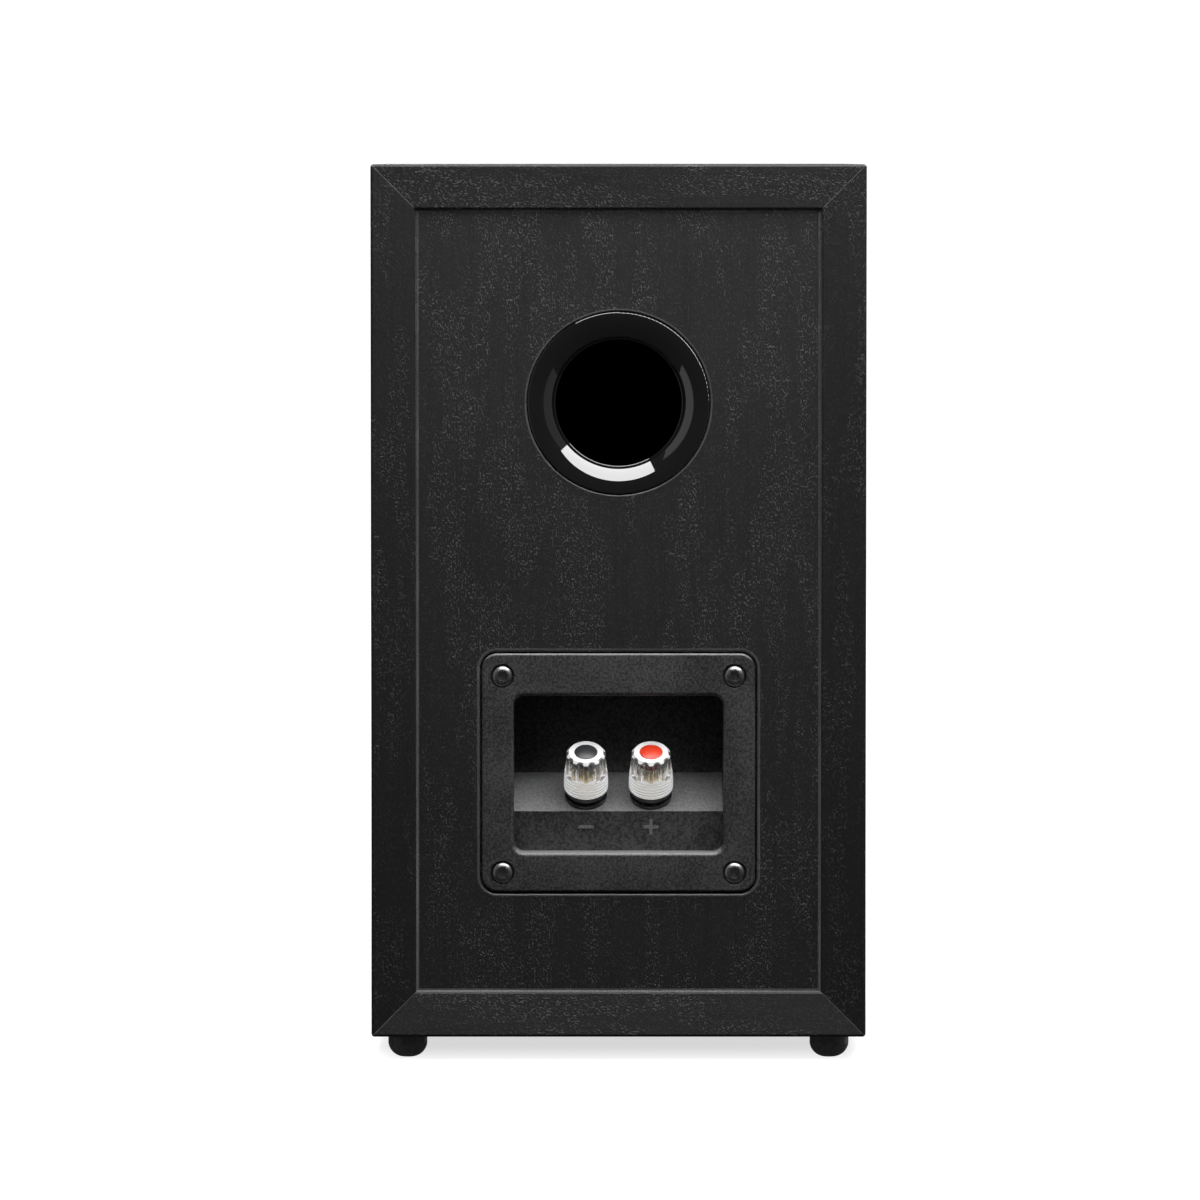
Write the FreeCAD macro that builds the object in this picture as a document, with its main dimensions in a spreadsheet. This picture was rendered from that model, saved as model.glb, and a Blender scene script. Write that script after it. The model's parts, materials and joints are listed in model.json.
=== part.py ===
"""Two-way bookshelf speaker: mitred cabinet, two drivers, rear port, terminal cup with binding posts.

The row frame has its origin on the shelf, under the middle of the cabinet. +Z is up, the drivers face -Y
and the terminals face +Y. Lengths are millimetres. Most pieces are drawn in a frame of their own, with local
+Z along the piece's axis, and then placed on the baffle, the back panel or a binding post's axis.
"""

import FreeCAD
import Part
import math
import os
import re

import Sketcher

Vector = FreeCAD.Vector
Rotation = FreeCAD.Rotation

# Driving dimensions. Each one is a cell of the spreadsheet, under the alias given here.
DIMENSIONS = {
    # cabinet
    "cab_width": 144.0,
    "cab_height": 254.0,
    "cab_depth": 185.0,
    "board": 13.0,
    "edge_drop": 1.5,
    "edge_round": 0.8,
    "corner_round": 1.0,
    "panel_inset": 3.0,
    "back_thick": 12.0,
    "baffle_thick": 15.0,
    # feet
    "foot_rise": 7.0,
    "foot_radius": 5.7,
    "foot_flat": 1.9,
    "foot_dome": 4.6,
    "foot_lip": 3.0,
    "foot_flare": 0.9,
    "foot_pad": 0.3,
    "foot_in": 10.3,
    "foot_in_depth": 14.0,
    # reflex port
    "port_height": 191.7,
    "port_bore": 18.5,
    "port_wall": 1.8,
    "flare_wide": 7.6,
    "flare_depth": 3.7,
    "flare_lip": 0.3,
    "flare_proud": 1.6,
    "port_sink": 1.2,
    "port_sink_gap": 0.4,
    "port_sink_round": 0.4,
    "port_hole": 24.6,
    "port_length": 95.0,
    "port_socket": 6.0,
    # terminal cup
    "cup_height": 83.5,
    "cup_wide": 79.6,
    "cup_tall": 69.5,
    "cup_raise": 0.5,
    "cup_corner": 4.5,
    "cup_plate": 2.0,
    "cup_gasket": 0.6,
    "cup_wall": 2.0,
    "cup_sink": 2.0,
    "cup_sink_gap": 0.5,
    "cup_sink_round": 0.8,
    "pocket_wide": 61.0,
    "pocket_tall": 45.7,
    "pocket_corner": 3.0,
    "rim_round": 1.2,
    "sill_depth": 8.4,
    "sill_tall": 11.5,
    "slope_length": 18.0,
    "slope_angle": 55.0,
    "cutout_gap": 1.0,
    "cup_screw_wide": 67.6,
    "cup_screw_tall": 57.4,
    "cup_screw_head": 3.05,
    "cup_screw_sink": 3.55,
    "mark_long": 4.4,
    "mark_thick": 0.9,
    "mark_proud": 0.3,
    "mark_drop": 4.6,
    # binding posts
    "post_spacing": 19.0,
    "post_along": 6.7,
    "collar_radius": 6.1,
    "collar_tall": 3.6,
    "stud_thin": 2.0,
    "stud_thick": 3.0,
    "stud_top": 13.0,
    "banana_bore": 2.0,
    "wire_hole": 1.3,
    "wire_height": 5.6,
    "knob_gap": 0.2,
    "knob_radius": 6.5,
    "knob_top_radius": 5.45,
    "knob_tall": 13.0,
    "knob_seat": 13.6,
    "insert_radius": 4.2,
    "insert_gap": 0.1,
    "thread_gap": 0.05,
    "stopper_radius": 3.3,
    "stopper_stem": 1.9,
    "flute_radius": 1.4,
    "flute_centre": 6.35,
    "flute_start": 9.6,
    "flutes": 10,
    # woofer
    "woofer_height": 82.0,
    "woofer_flange": 56.0,
    "woofer_hole": 49.4,
    "woofer_screw_ring": 52.6,
    "basket_metal": 1.2,
    "basket_wall": 1.0,
    "roll_inner": 40.4,
    "roll_outer": 46.2,
    "roll_sheet": 0.5,
    "shelf_depth": 20.0,
    "plate_depth": 29.4,
    "plate_tall": 5.0,
    "magnet_tall": 12.0,
    "yoke_tall": 5.0,
    "coil_inner": 10.05,
    "coil_outer": 10.6,
    "pole_radius": 9.7,
    "gap_radius": 11.0,
    "plate_radius": 30.0,
    "magnet_radius": 36.0,
    # tweeter
    "tweeter_height": 187.0,
    "tweeter_flange": 36.0,
    "tweeter_hole": 27.4,
    "tweeter_screw_ring": 31.6,
    "dome_radius": 12.5,
    "dome_tall": 4.0,
    "face_thick": 3.0,
    "face_back": 3.5,
    "tweeter_plate": 3.0,
    "tweeter_magnet": 9.0,
    "tweeter_yoke": 4.0,
    # driver screws and grille sockets
    "screw_head": 2.7,
    "screw_shank": 1.6,
    "pilot_gap": 0.05,
    "hex_radius": 1.6,
    "fit_gap": 0.1,
    "plate_round": 0.7,
    "screw_sink_depth": 1.0,
    "socket_wide": 104.0,
    "socket_tall": 214.0,
    "socket_radius": 3.6,
    "socket_bore": 2.2,
    # crossover board
    "crossover_wide": 92.0,
    "crossover_deep": 64.0,
    "crossover_thick": 1.6,
    "crossover_lift": 5.0,
    "crossover_back": 24.0,
    # leads and damping
    "lead_radius": 1.0,
    "pad_thick": 12.0,
}

doc = FreeCAD.newDocument("bookshelf_speaker")
cells = doc.addObject("Spreadsheet::Sheet", "D")
cells.Label = "dimensions"
for row, (alias, number) in enumerate(DIMENSIONS.items(), start=1):
    cells.set(f"A{row}", alias)
    cells.set(f"B{row}", str(number))
    cells.setAlias(f"B{row}", alias)
doc.recompute()

subparts = {}


# ---------------------------------------------------------------- expressions and frames


def bound(text):
    """The FreeCAD expression for text, in which every alias is read from the spreadsheet."""

    def alias(word):
        return "D." + word.group() if word.group() in DIMENSIONS else word.group()

    return re.sub(r"[a-z_]+", alias, text)


def value(text):
    """The number that an expression over the driving dimensions comes to."""
    return float(cells.evalExpression(bound(text)))


class Frame:
    """A rotation, and an origin given as three expressions."""

    def __init__(self, rotation, x="0", y="0", z="0"):
        self.rotation = rotation
        self.origin = (x, y, z)

    def hold(self, thing):
        """Places thing in this frame, its origin bound to the spreadsheet."""
        thing.Placement = FreeCAD.Placement(Vector(*(value(text) for text in self.origin)), self.rotation)
        for axis, text in zip("xyz", self.origin):
            thing.setExpression(f"Placement.Base.{axis}", bound(text))
        return thing

    def point(self, x, y, z):
        """A local point, in the row frame."""
        return Vector(*(value(text) for text in self.origin)) + self.rotation.multVec(Vector(x, y, z))


UPRIGHT = Rotation(Vector(1, 0, 0), 0)
FACING_FRONT = Rotation(Vector(1, 0, 0), 90)  # local +Z is row -Y, local +Y is up
FACING_BACK = Rotation(Vector(0, 1, 1), 180)  # local +Z is row +Y, local +Y is up, local +X is row -X
ROOM = Frame(UPRIGHT)
BAFFLE_FACE = "panel_inset - cab_depth / 2"
BACK_FACE = "cab_depth / 2 - panel_inset"
WOOFER = Frame(FACING_FRONT, "0", BAFFLE_FACE, "woofer_height")
TWEETER = Frame(FACING_FRONT, "0", BAFFLE_FACE, "tweeter_height")
PORT = Frame(FACING_BACK, "0", f"{BACK_FACE} - port_sink", "port_height")
CUP_SEAT = f"{BACK_FACE} - cup_sink"
CUP = Frame(FACING_BACK, "0", CUP_SEAT, "cup_height")

# Heights of the cup's own levels, in its frame.
CUP_FACE = "cup_gasket + cup_plate"
SILL = "cup_gasket + cup_plate - sill_depth"
POCKET_LOW = "-pocket_tall / 2"
SLOPE_LOW = "sill_tall - pocket_tall / 2"
SLOPE_TOP = "sill_tall - pocket_tall / 2 + slope_length * cos(slope_angle)"
POCKET_BACK = "cup_gasket + cup_plate - sill_depth - slope_length * sin(slope_angle)"
POST_TILT = Rotation(Vector(1, 0, 0), -(90 - value("slope_angle")))
POST_Y = f"{CUP_SEAT} + {SILL} - post_along * sin(slope_angle)"
POST_Z = f"cup_height + {SLOPE_LOW} + post_along * cos(slope_angle)"
POSTS = {
    "negative": Frame(POST_TILT, "post_spacing / 2", POST_Y, POST_Z),
    "positive": Frame(POST_TILT, "-post_spacing / 2", POST_Y, POST_Z),
}


# ---------------------------------------------------------------- modelling helpers


def keep(name, thing):
    """Registers thing as the sub-part called name."""
    thing.Label = name
    subparts[name] = thing
    return thing


def body(name):
    return doc.addObject("PartDesign::Body", "body_" + name)


def sketch(owner, plane, outlines, offset=None):
    """A sketch on one of the body's own origin planes.

    An outline is a closed list of corners, each a pair of expressions. A corner with a third item starts an
    arc to the next corner: the item is the arc's radius, and "-" before it puts the centre to the right.
    A tuple of three expressions instead of a list is a circle: its centre and radius.
    """
    drawn = owner.newObject("Sketcher::SketchObject", owner.Name + "_sketch")
    support = [feature for feature in owner.Origin.OriginFeatures if feature.Role == plane]
    drawn.AttachmentSupport = [(support[0], "")]
    drawn.MapMode = "FlatFace"
    if offset:
        drawn.setExpression("AttachmentOffset.Base.z", bound(offset))
    for outline in outlines:
        if isinstance(outline, tuple):
            draw_circle(drawn, *outline)
        else:
            draw_outline(drawn, outline)
    return drawn


def draw_circle(drawn, x, y, radius):
    ring = Part.Circle(Vector(value(x), value(y), 0), Vector(0, 0, 1), value(radius))
    place = drawn.addGeometry(ring, False)
    index = drawn.addConstraint(Sketcher.Constraint("Radius", place, value(radius)))
    drawn.setExpression(f"Constraints[{index}]", bound(radius))
    pin(drawn, place, 3, x, y)


def pin(drawn, geometry, end, x, y):
    """Holds one point of a sketch at an expression position."""
    for kind, text in (("DistanceX", x), ("DistanceY", y)):
        index = drawn.addConstraint(Sketcher.Constraint(kind, -1, 1, geometry, end, value(text)))
        drawn.setExpression(f"Constraints[{index}]", bound(text))


def draw_outline(drawn, outline):
    first = drawn.GeometryCount
    count = len(outline)
    corners = [Vector(value(corner[0]), value(corner[1]), 0) for corner in outline]
    ends = []
    for i, corner in enumerate(outline):
        begin, end = corners[i], corners[(i + 1) % count]
        if len(corner) == 2:
            drawn.addGeometry(Part.LineSegment(begin, end), False)
            ends.append((1, 2))
            continue
        radius_text = corner[2].lstrip("-")
        radius = value(radius_text)
        turn = -1 if corner[2].startswith("-") else 1
        chord = end - begin
        left = Vector(-chord.y, chord.x, 0).normalize()
        rise = math.sqrt(max(radius**2 - (chord.Length / 2) ** 2, 0))
        centre = (begin + end) / 2 + left * (turn * rise)
        low, high = (begin, end) if turn > 0 else (end, begin)
        angles = [math.atan2(point.y - centre.y, point.x - centre.x) for point in (low, high)]
        drawn.addGeometry(Part.ArcOfCircle(Part.Circle(centre, Vector(0, 0, 1), radius), *angles), False)
        ends.append((1, 2) if turn > 0 else (2, 1))
        index = drawn.addConstraint(Sketcher.Constraint("Radius", first + i, radius))
        drawn.setExpression(f"Constraints[{index}]", bound(radius_text))
    for i in range(count):
        after = (i + 1) % count
        joined = (first + i, ends[i][1], first + after, ends[after][0])
        drawn.addConstraint(Sketcher.Constraint("Coincident", *joined))
    for i, corner in enumerate(outline):
        pin(drawn, first + i, ends[i][0], *corner[:2])


def extrude(owner, kind, drawn, length, both=False, back=False):
    """A Pad or Pocket of a sketch. back turns its direction round."""
    feature = owner.newObject("PartDesign::" + kind, f"{owner.Name}_{kind}")
    feature.Profile = drawn
    feature.setExpression("Length", bound(length))
    feature.Midplane = both
    feature.Reversed = back
    doc.recompute()
    return feature


def turned(name, outlines, frame):
    """A body turned about local Z. Each corner of an outline is (radius, height along the axis)."""
    owner = body(name)
    feature = owner.newObject("PartDesign::Revolution", owner.Name + "_turn")
    feature.Profile = sketch(owner, "XZ_Plane", outlines)
    feature.ReferenceAxis = (feature.Profile[0], ["V_Axis"])
    feature.Angle = 360
    doc.recompute()
    frame.hold(owner)
    return owner


def hollow_ring(inner, outer, low, high):
    """The outline of a plain ring or tube."""
    return [(inner, low), (outer, low), (outer, high), (inner, high)]


def rounded_rectangle(wide, tall, corner):
    """A rectangle about the sketch's origin with quarter-round corners, anticlockwise."""
    x, y = f"({wide}) / 2", f"({tall}) / 2"
    return [
        (f"{corner} - {x}", f"-{y}"),
        (f"{x} - ({corner})", f"-{y}", corner),
        (x, f"{corner} - {y}"),
        (x, f"{y} - ({corner})", corner),
        (f"{x} - ({corner})", y),
        (f"{corner} - {x}", y, corner),
        (f"-{x}", f"{y} - ({corner})"),
        (f"-{x}", f"{corner} - {y}", corner),
    ]


def raised(outline, height):
    """The same outline, moved up by an expression."""
    return [(corner[0], f"{height} + ({corner[1]})", *corner[2:]) for corner in outline]


def rectangle(low_x, low_y, high_x, high_y):
    return [(low_x, low_y), (high_x, low_y), (high_x, high_y), (low_x, high_y)]


def round_edges(owner, radius, wanted):
    """Fillets the edges of the body's tip for which wanted(edge) is true."""
    base = owner.Tip
    names = [f"Edge{i}" for i, edge in enumerate(base.Shape.Edges, start=1) if wanted(edge)]
    fillet = owner.newObject("PartDesign::Fillet", owner.Name + "_fillet")
    fillet.Base = (base, names)
    fillet.setExpression("Radius", bound(radius))
    doc.recompute()
    return fillet


def spot(edge):
    """The middle of an edge's bounding box."""
    return edge.BoundBox.Center


def rod(radius, length, x="0", y="0", z="0", rotation=UPRIGHT):
    """A Part cylinder whose base centre is at an expression point."""
    cylinder = doc.addObject("Part::Cylinder", "rod")
    cylinder.setExpression("Radius", bound(radius))
    cylinder.setExpression("Height", bound(length))
    return Frame(rotation, x, y, z).hold(cylinder)


def block(length, width, height, x, y, z):
    """A Part box whose middle is at (x, y) and whose base is at z."""
    box = doc.addObject("Part::Box", "block")
    for side, text in zip(("Length", "Width", "Height"), (length, width, height)):
        box.setExpression(side, bound(text))
    return Frame(UPRIGHT, f"{x} - ({length}) / 2", f"{y} - ({width}) / 2", z).hold(box)


def cut(base, *tools):
    """base less every tool."""
    for tool in tools:
        result = doc.addObject("Part::Cut", "cut")
        result.Base, result.Tool = base, tool
        base = result
    doc.recompute()
    return base


def fuse(*pieces):
    joined = doc.addObject("Part::MultiFuse", "fuse")
    joined.Shapes = list(pieces)
    doc.recompute()
    return joined


def free_shape(name, shape, frame=ROOM):
    """A Part::Feature for a shape that neither a body nor the primitives suit."""
    feature = doc.addObject("Part::Feature", "shape_" + name)
    feature.Shape = shape
    frame.hold(feature)
    return keep(name, feature)


def tube_along(points, radius):
    """A round lead along straight runs joined by tangent arcs as large as the runs allow."""
    edges = []
    begin = points[0]
    for i in range(1, len(points) - 1):
        arriving = (points[i] - points[i - 1]).normalize()
        leaving = (points[i + 1] - points[i]).normalize()
        shorter = min((points[i] - points[i - 1]).Length, (points[i + 1] - points[i]).Length)
        reach = 0.45 * shorter
        start, stop = points[i] - arriving * reach, points[i] + leaving * reach
        half_turn = arriving.getAngle(leaving) / 2
        bend = reach / math.tan(half_turn)
        inward = (leaving - arriving).normalize()
        middle = points[i] + inward * (bend / math.cos(half_turn) - bend)
        edges.append(Part.LineSegment(begin, start).toShape())
        edges.append(Part.Arc(start, middle, stop).toShape())
        begin = stop
    edges.append(Part.LineSegment(begin, points[-1]).toShape())
    route = Part.Wire(edges)
    ring = Part.Wire(Part.Circle(points[0], points[1] - points[0], radius).toShape())
    return route.makePipeShell([ring], True, False)


# ---------------------------------------------------------------- cabinet


def board_profile():
    """Section of a side board across its thickness: outer face at 0, ends bevelled in towards the panels."""
    half = "cab_depth / 2"
    drop = f"{half} - edge_drop"
    return [
        ("0", f"edge_round - {half}", "edge_round"),
        ("edge_round", f"-{half}"),
        ("board - edge_round", f"edge_drop - {half}", "edge_round"),
        ("board", f"edge_drop + edge_round - {half}"),
        ("board", f"{drop} - edge_round", "edge_round"),
        ("board - edge_round", drop),
        ("edge_round", half, "edge_round"),
        ("0", f"{half} - edge_round"),
    ]


def mitre_waste(length):
    """What is cut off one end of a board: all past the 45-degree plane, and the rounded outer corner."""
    diagonal = "corner_round * (1 - cos(45))"
    past = "board + 2"
    return [
        ("0", f"{length} - corner_round", "-corner_round"),
        (diagonal, f"{length} - {diagonal}"),
        (past, f"{length} - ({past})"),
        (past, f"{length} + 2"),
        ("-2", f"{length} + 2"),
        ("-2", f"{length} - corner_round"),
    ]


def side_board(name, length, frame):
    """A board drawn with its outer face at local x = 0, running along local z, and mitred at both ends."""
    owner = body(name)
    extrude(owner, "Pad", sketch(owner, "XY_Plane", [board_profile()]), length, both=True)
    top = mitre_waste(f"{length} / 2")
    bottom = [(corner[0], f"-({corner[1]})", *flipped(corner[2:])) for corner in top]
    extrude(owner, "Pocket", sketch(owner, "XZ_Plane", [top, bottom]), "cab_depth + 2", both=True)
    frame.hold(owner)
    return keep(name, owner)


def flipped(radius):
    """The same arc seen in a mirror: its centre is on the other side."""
    return [r[1:] if r.startswith("-") else "-" + r for r in radius]


def drill(owner, plane, outlines, depth, both=False, back=False, offset=None):
    """A pocket that must remove material."""
    before = owner.Shape.Volume
    extrude(owner, "Pocket", sketch(owner, plane, outlines, offset), depth, both, back)
    if owner.Shape.Volume > before - 0.01:
        raise RuntimeError(f"a pocket in {owner.Name} removed nothing")


def foot_places():
    """(name, x expression, y expression) of each foot."""
    x, y = "(cab_width / 2 - foot_in)", "(cab_depth / 2 - foot_in_depth)"
    return [
        ("front_left", f"-{x}", f"-{y}"),
        ("front_right", x, f"-{y}"),
        ("rear_left", f"-{x}", y),
        ("rear_right", x, y),
    ]


def corners_of(wide, tall):
    """The four corners of a rectangle about the origin, as expressions."""
    return [(f"{sx}({wide}) / 2", f"{sy}({tall}) / 2") for sx in ("-", "") for sy in ("-", "")]


def recesses(back):
    """Shallow seats with rounded edges, which let the port's flange and the cup's plate into the panel."""
    flange = "port_bore + flare_wide + flare_lip + port_sink_gap"
    level = f"-({BACK_FACE})"
    drill(back, "XZ_Plane", [("0", "port_height", flange)], "port_sink", back=True, offset=level)
    wide, tall = "cup_wide + 2 * cup_sink_gap", "cup_tall + 2 * cup_sink_gap"
    seat = raised(rounded_rectangle(wide, tall, "cup_corner + cup_sink_gap"), "cup_height + cup_raise")
    drill(back, "XZ_Plane", [seat], "cup_sink", back=True, offset=level)
    face, divide = value(BACK_FACE), value("(port_height + cup_height) / 2")

    def on_seat(edge):
        across = abs(spot(edge).x) < value("cup_wide / 2 + 2")
        up = value("cup_height - cup_tall / 2 - 4") < spot(edge).z < value("port_height") + 1
        return across and up and abs(edge.BoundBox.YMin - face) < 1e-4

    round_edges(back, "port_sink_round", lambda edge: on_seat(edge) and spot(edge).z > divide)
    round_edges(back, "cup_sink_round", lambda edge: on_seat(edge) and spot(edge).z < divide)


def cabinet():
    middle = "foot_rise + cab_height / 2"
    side, end = "cab_height", "cab_width"
    about_z = Rotation(Vector(0, 0, 1), 180)
    side_board("side_panel_left", side, Frame(UPRIGHT, "-cab_width / 2", "0", middle))
    side_board("side_panel_right", side, Frame(about_z, "cab_width / 2", "0", middle))
    up = Rotation(Vector(0, 1, 0), 90)
    down = Rotation(Vector(0, 1, 0), -90)
    side_board("top_panel", end, Frame(up, "0", "0", "foot_rise + cab_height"))
    side_board("bottom_panel", end, Frame(down, "0", "0", "foot_rise"))

    inner_wide, inner_tall = "cab_width - 2 * board", "cab_height - 2 * board"
    shift = f"({middle})"
    frame_box = rectangle(f"-({inner_wide}) / 2", f"{shift} - ({inner_tall}) / 2",
                          f"({inner_wide}) / 2", f"{shift} + ({inner_tall}) / 2")
    back = body("back_panel")
    panel = sketch(back, "XZ_Plane", [frame_box], f"-({BACK_FACE})")
    extrude(back, "Pad", panel, "back_thick")
    drill(back, "XZ_Plane", [("0", "port_height", "port_hole")], "cab_depth + 2", both=True)
    wide = "pocket_wide + 2 * cup_wall + 2 * cutout_gap"
    tall = "pocket_tall + 2 * cup_wall + 2 * cutout_gap"
    hole = raised(rounded_rectangle(wide, tall, "pocket_corner"), "cup_height")
    drill(back, "XZ_Plane", [hole], "cab_depth + 2", both=True)
    screws = corners_of("cup_screw_wide", "cup_screw_tall")
    pilots = [(x, f"cup_height + ({z})", "screw_shank + pilot_gap") for x, z in screws]
    drill(back, "XZ_Plane", pilots, "cab_depth + 2", both=True)
    recesses(back)
    keep("back_panel", back)

    baffle = body("front_baffle")
    panel = sketch(baffle, "XZ_Plane", [frame_box], f"-({BAFFLE_FACE})")
    extrude(baffle, "Pad", panel, "baffle_thick", back=True)
    holes = [("0", "woofer_height", "woofer_hole"), ("0", "tweeter_height", "tweeter_hole")]
    for x, z in corners_of("socket_wide", "socket_tall"):
        holes.append((x, f"{middle} + ({z})", "socket_radius"))
    drill(baffle, "XZ_Plane", holes, "cab_depth + 2", both=True)
    pilots = []
    for height, ring in (("woofer_height", "woofer_screw_ring"), ("tweeter_height", "tweeter_screw_ring")):
        reach = f"({ring}) * cos(45)"
        places = [(f"{sx}{reach}", f"{height} {sz} {reach}") for sx in ("-", "") for sz in ("-", "+")]
        pilots += [(x, z, "screw_shank + pilot_gap") for x, z in places]
    drill(baffle, "XZ_Plane", pilots, "cab_depth + 2", both=True)
    keep("front_baffle", baffle)


cabinet()


# ---------------------------------------------------------------- feet and port


def feet():
    for corner, x, y in foot_places():
        outline = [
            ("0", "0"),
            ("foot_flat", "0", "foot_dome"),
            ("foot_radius", "foot_rise - foot_lip"),
            ("foot_radius", "foot_rise - foot_pad - foot_flare", "-foot_flare"),
            ("foot_radius + foot_flare", "foot_rise - foot_pad"),
            ("foot_radius + foot_flare", "foot_rise"),
            ("0", "foot_rise"),
        ]
        keep("foot_" + corner, turned("foot_" + corner, [outline], Frame(UPRIGHT, x, y, "0")))


def port():
    arc_end = "flare_proud - flare_depth"
    arc_radius = "(flare_wide * flare_wide + flare_depth * flare_depth) / (2 * flare_depth)"
    collar = "port_hole - fit_gap"
    socket = "port_bore + port_wall"
    seat = f"{arc_end} - 2"
    end = f"{seat} - port_socket"
    flare = [
        ("port_bore", arc_end, f"-{arc_radius}"),
        ("port_bore + flare_wide", "flare_proud", "-flare_lip"),
        ("port_bore + flare_wide + flare_lip", "flare_proud - flare_lip"),
        ("port_bore + flare_wide + flare_lip", "0"),
        (collar, "0"),
        (collar, end),
        (socket, end),
        (socket, seat),
        ("port_bore", seat),
    ]
    keep("port_flare", turned("port_flare", [flare], PORT))
    tube = hollow_ring("port_bore", socket, f"{seat} - port_length", seat)
    keep("port_tube", turned("port_tube", [tube], PORT))


feet()
port()


# ---------------------------------------------------------------- terminal cup


def cup_level(x, y, z):
    """A place in the cup's frame, as row expressions. Its local x runs along row -X."""
    return f"-({x})", f"{CUP_SEAT} + {z}", f"cup_height + {y}"


def prism(name, outline, plane, length, start=None, back=False, both=False, frame=CUP):
    owner = body(name)
    extrude(owner, "Pad", sketch(owner, plane, [outline], start), length, both=both, back=back)
    return frame.hold(owner)


def common(*pieces):
    result = doc.addObject("Part::MultiCommon", "common")
    result.Shapes = list(pieces)
    doc.recompute()
    return result


def terminal_cup():
    plate = body("cup_plate")
    outer = raised(rounded_rectangle("cup_wide", "cup_tall", "cup_corner"), "cup_raise")
    extrude(plate, "Pad", sketch(plate, "XY_Plane", [outer], "cup_gasket"), "cup_plate")
    opening = rounded_rectangle("pocket_wide", "pocket_tall", "pocket_corner")
    drill(plate, "XY_Plane", [opening], "cup_plate + 4", both=True)
    level = value(CUP_FACE)

    def on_face(edge):
        return abs(edge.BoundBox.ZMin - level) < 1e-4 and abs(edge.BoundBox.ZMax - level) < 1e-4

    def is_outer(edge):
        at = spot(edge)
        return abs(at.x) > value("pocket_wide / 2") + 1 or abs(at.y) > value("pocket_tall / 2") + 1

    round_edges(plate, "plate_round", lambda edge: on_face(edge) and is_outer(edge))
    round_edges(plate, "rim_round", lambda edge: on_face(edge) and not is_outer(edge))
    sinks = [(x, y, "cup_screw_sink") for x, y in corners_of("cup_screw_wide", "cup_screw_tall")]
    drill(plate, "XY_Plane", sinks, "screw_sink_depth", offset=CUP_FACE)
    holes = [(x, y, "screw_shank + pilot_gap") for x, y in corners_of("cup_screw_wide", "cup_screw_tall")]
    drill(plate, "XY_Plane", holes, "cup_plate + 6", both=True)
    CUP.hold(plate)

    high, low = "pocket_tall / 2", "-pocket_tall / 2"
    inside = [
        (low, f"{CUP_FACE} + 1"),
        (low, SILL),
        (SLOPE_LOW, SILL),
        (SLOPE_TOP, POCKET_BACK),
        (high, POCKET_BACK),
        (high, f"{CUP_FACE} + 1"),
    ]
    turn = "cup_wall * tan(slope_angle / 2)"
    shell = [
        (f"{low} - cup_wall", "cup_gasket"),
        (f"{low} - cup_wall", f"{SILL} - cup_wall"),
        (f"{SLOPE_LOW} - {turn}", f"{SILL} - cup_wall"),
        (f"{SLOPE_TOP} - {turn}", f"{POCKET_BACK} - cup_wall"),
        (f"{high} + cup_wall", f"{POCKET_BACK} - cup_wall"),
        (f"{high} + cup_wall", "cup_gasket"),
    ]
    wide = "pocket_wide + 2 * cup_wall"
    tall = "pocket_tall + 2 * cup_wall"
    reach = "cup_plate + 40"
    outline = rounded_rectangle(wide, tall, "pocket_corner + cup_wall")
    outer_round = prism("cup_box", outline, "XY_Plane", reach, start=CUP_FACE, back=True)
    outer_side = prism("cup_box_side", shell, "YZ_Plane", wide, both=True)
    inner_round = prism("cup_pocket", opening, "XY_Plane", reach, start=f"{CUP_FACE} + 1", back=True)
    inner_side = prism("cup_pocket_side", inside, "YZ_Plane", "pocket_wide", both=True)
    box = cut(common(outer_round, outer_side), common(inner_round, inner_side))

    marks = []
    mark_y = f"{CUP_SEAT} + {SILL} + mark_proud / 2 - 0.1"
    mark_z = f"cup_height + {SLOPE_LOW} - mark_drop"
    for sign in ("", "-"):
        x, z = f"{sign}(post_spacing / 2)", f"{mark_z} - mark_thick / 2"
        marks.append(block("mark_long", "mark_proud + 0.2", "mark_thick", x, mark_y, z))
    x, z = "-(post_spacing / 2)", f"{mark_z} - mark_long / 2"
    marks.append(block("mark_thick", "mark_proud + 0.2", "mark_long", x, mark_y, z))
    cup = fuse(plate, box, *marks)
    holes = []
    for frame in POSTS.values():
        hole = doc.addObject("Part::Cylinder", "post_hole")
        hole.setExpression("Radius", bound("stud_thin + pilot_gap"))
        hole.setExpression("Height", bound("cup_wall + 2"))
        back = frame.point(0, 0, -value("cup_wall") - 1)
        hole.Placement = FreeCAD.Placement(back, frame.rotation)
        holes.append(hole)
    keep("terminal_cup", cut(cup, *holes))

    seal = body("cup_gasket")
    outer = raised(rounded_rectangle("cup_wide - 2", "cup_tall - 2", "cup_corner - 1"), "cup_raise")
    wide, tall = "pocket_wide + 2 * cup_wall + 0.4", "pocket_tall + 2 * cup_wall + 0.4"
    inner = rounded_rectangle(wide, tall, "pocket_corner + cup_wall")
    extrude(seal, "Pad", sketch(seal, "XY_Plane", [outer, inner]), "cup_gasket")
    holes = [(x, y, "screw_shank + pilot_gap") for x, y in corners_of("cup_screw_wide", "cup_screw_tall")]
    drill(seal, "XY_Plane", holes, "cup_gasket + 4", both=True)
    CUP.hold(seal)
    keep("cup_gasket", seal)


terminal_cup()


# ---------------------------------------------------------------- screws and binding posts


def hexagon(radius, x="0", y="0"):
    """A regular hexagon about (x, y), with two corners on the x axis."""
    half, side = f"({radius}) / 2", f"({radius}) * cos(30)"
    corners = [(f"({radius})", "0"), (half, side), (f"-{half}", side)]
    corners += [(f"-({radius})", "0"), (f"-{half}", f"-{side}"), (half, f"-{side}")]
    return [(f"{x} + {a}", f"{y} + {b}") for a, b in corners]


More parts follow.
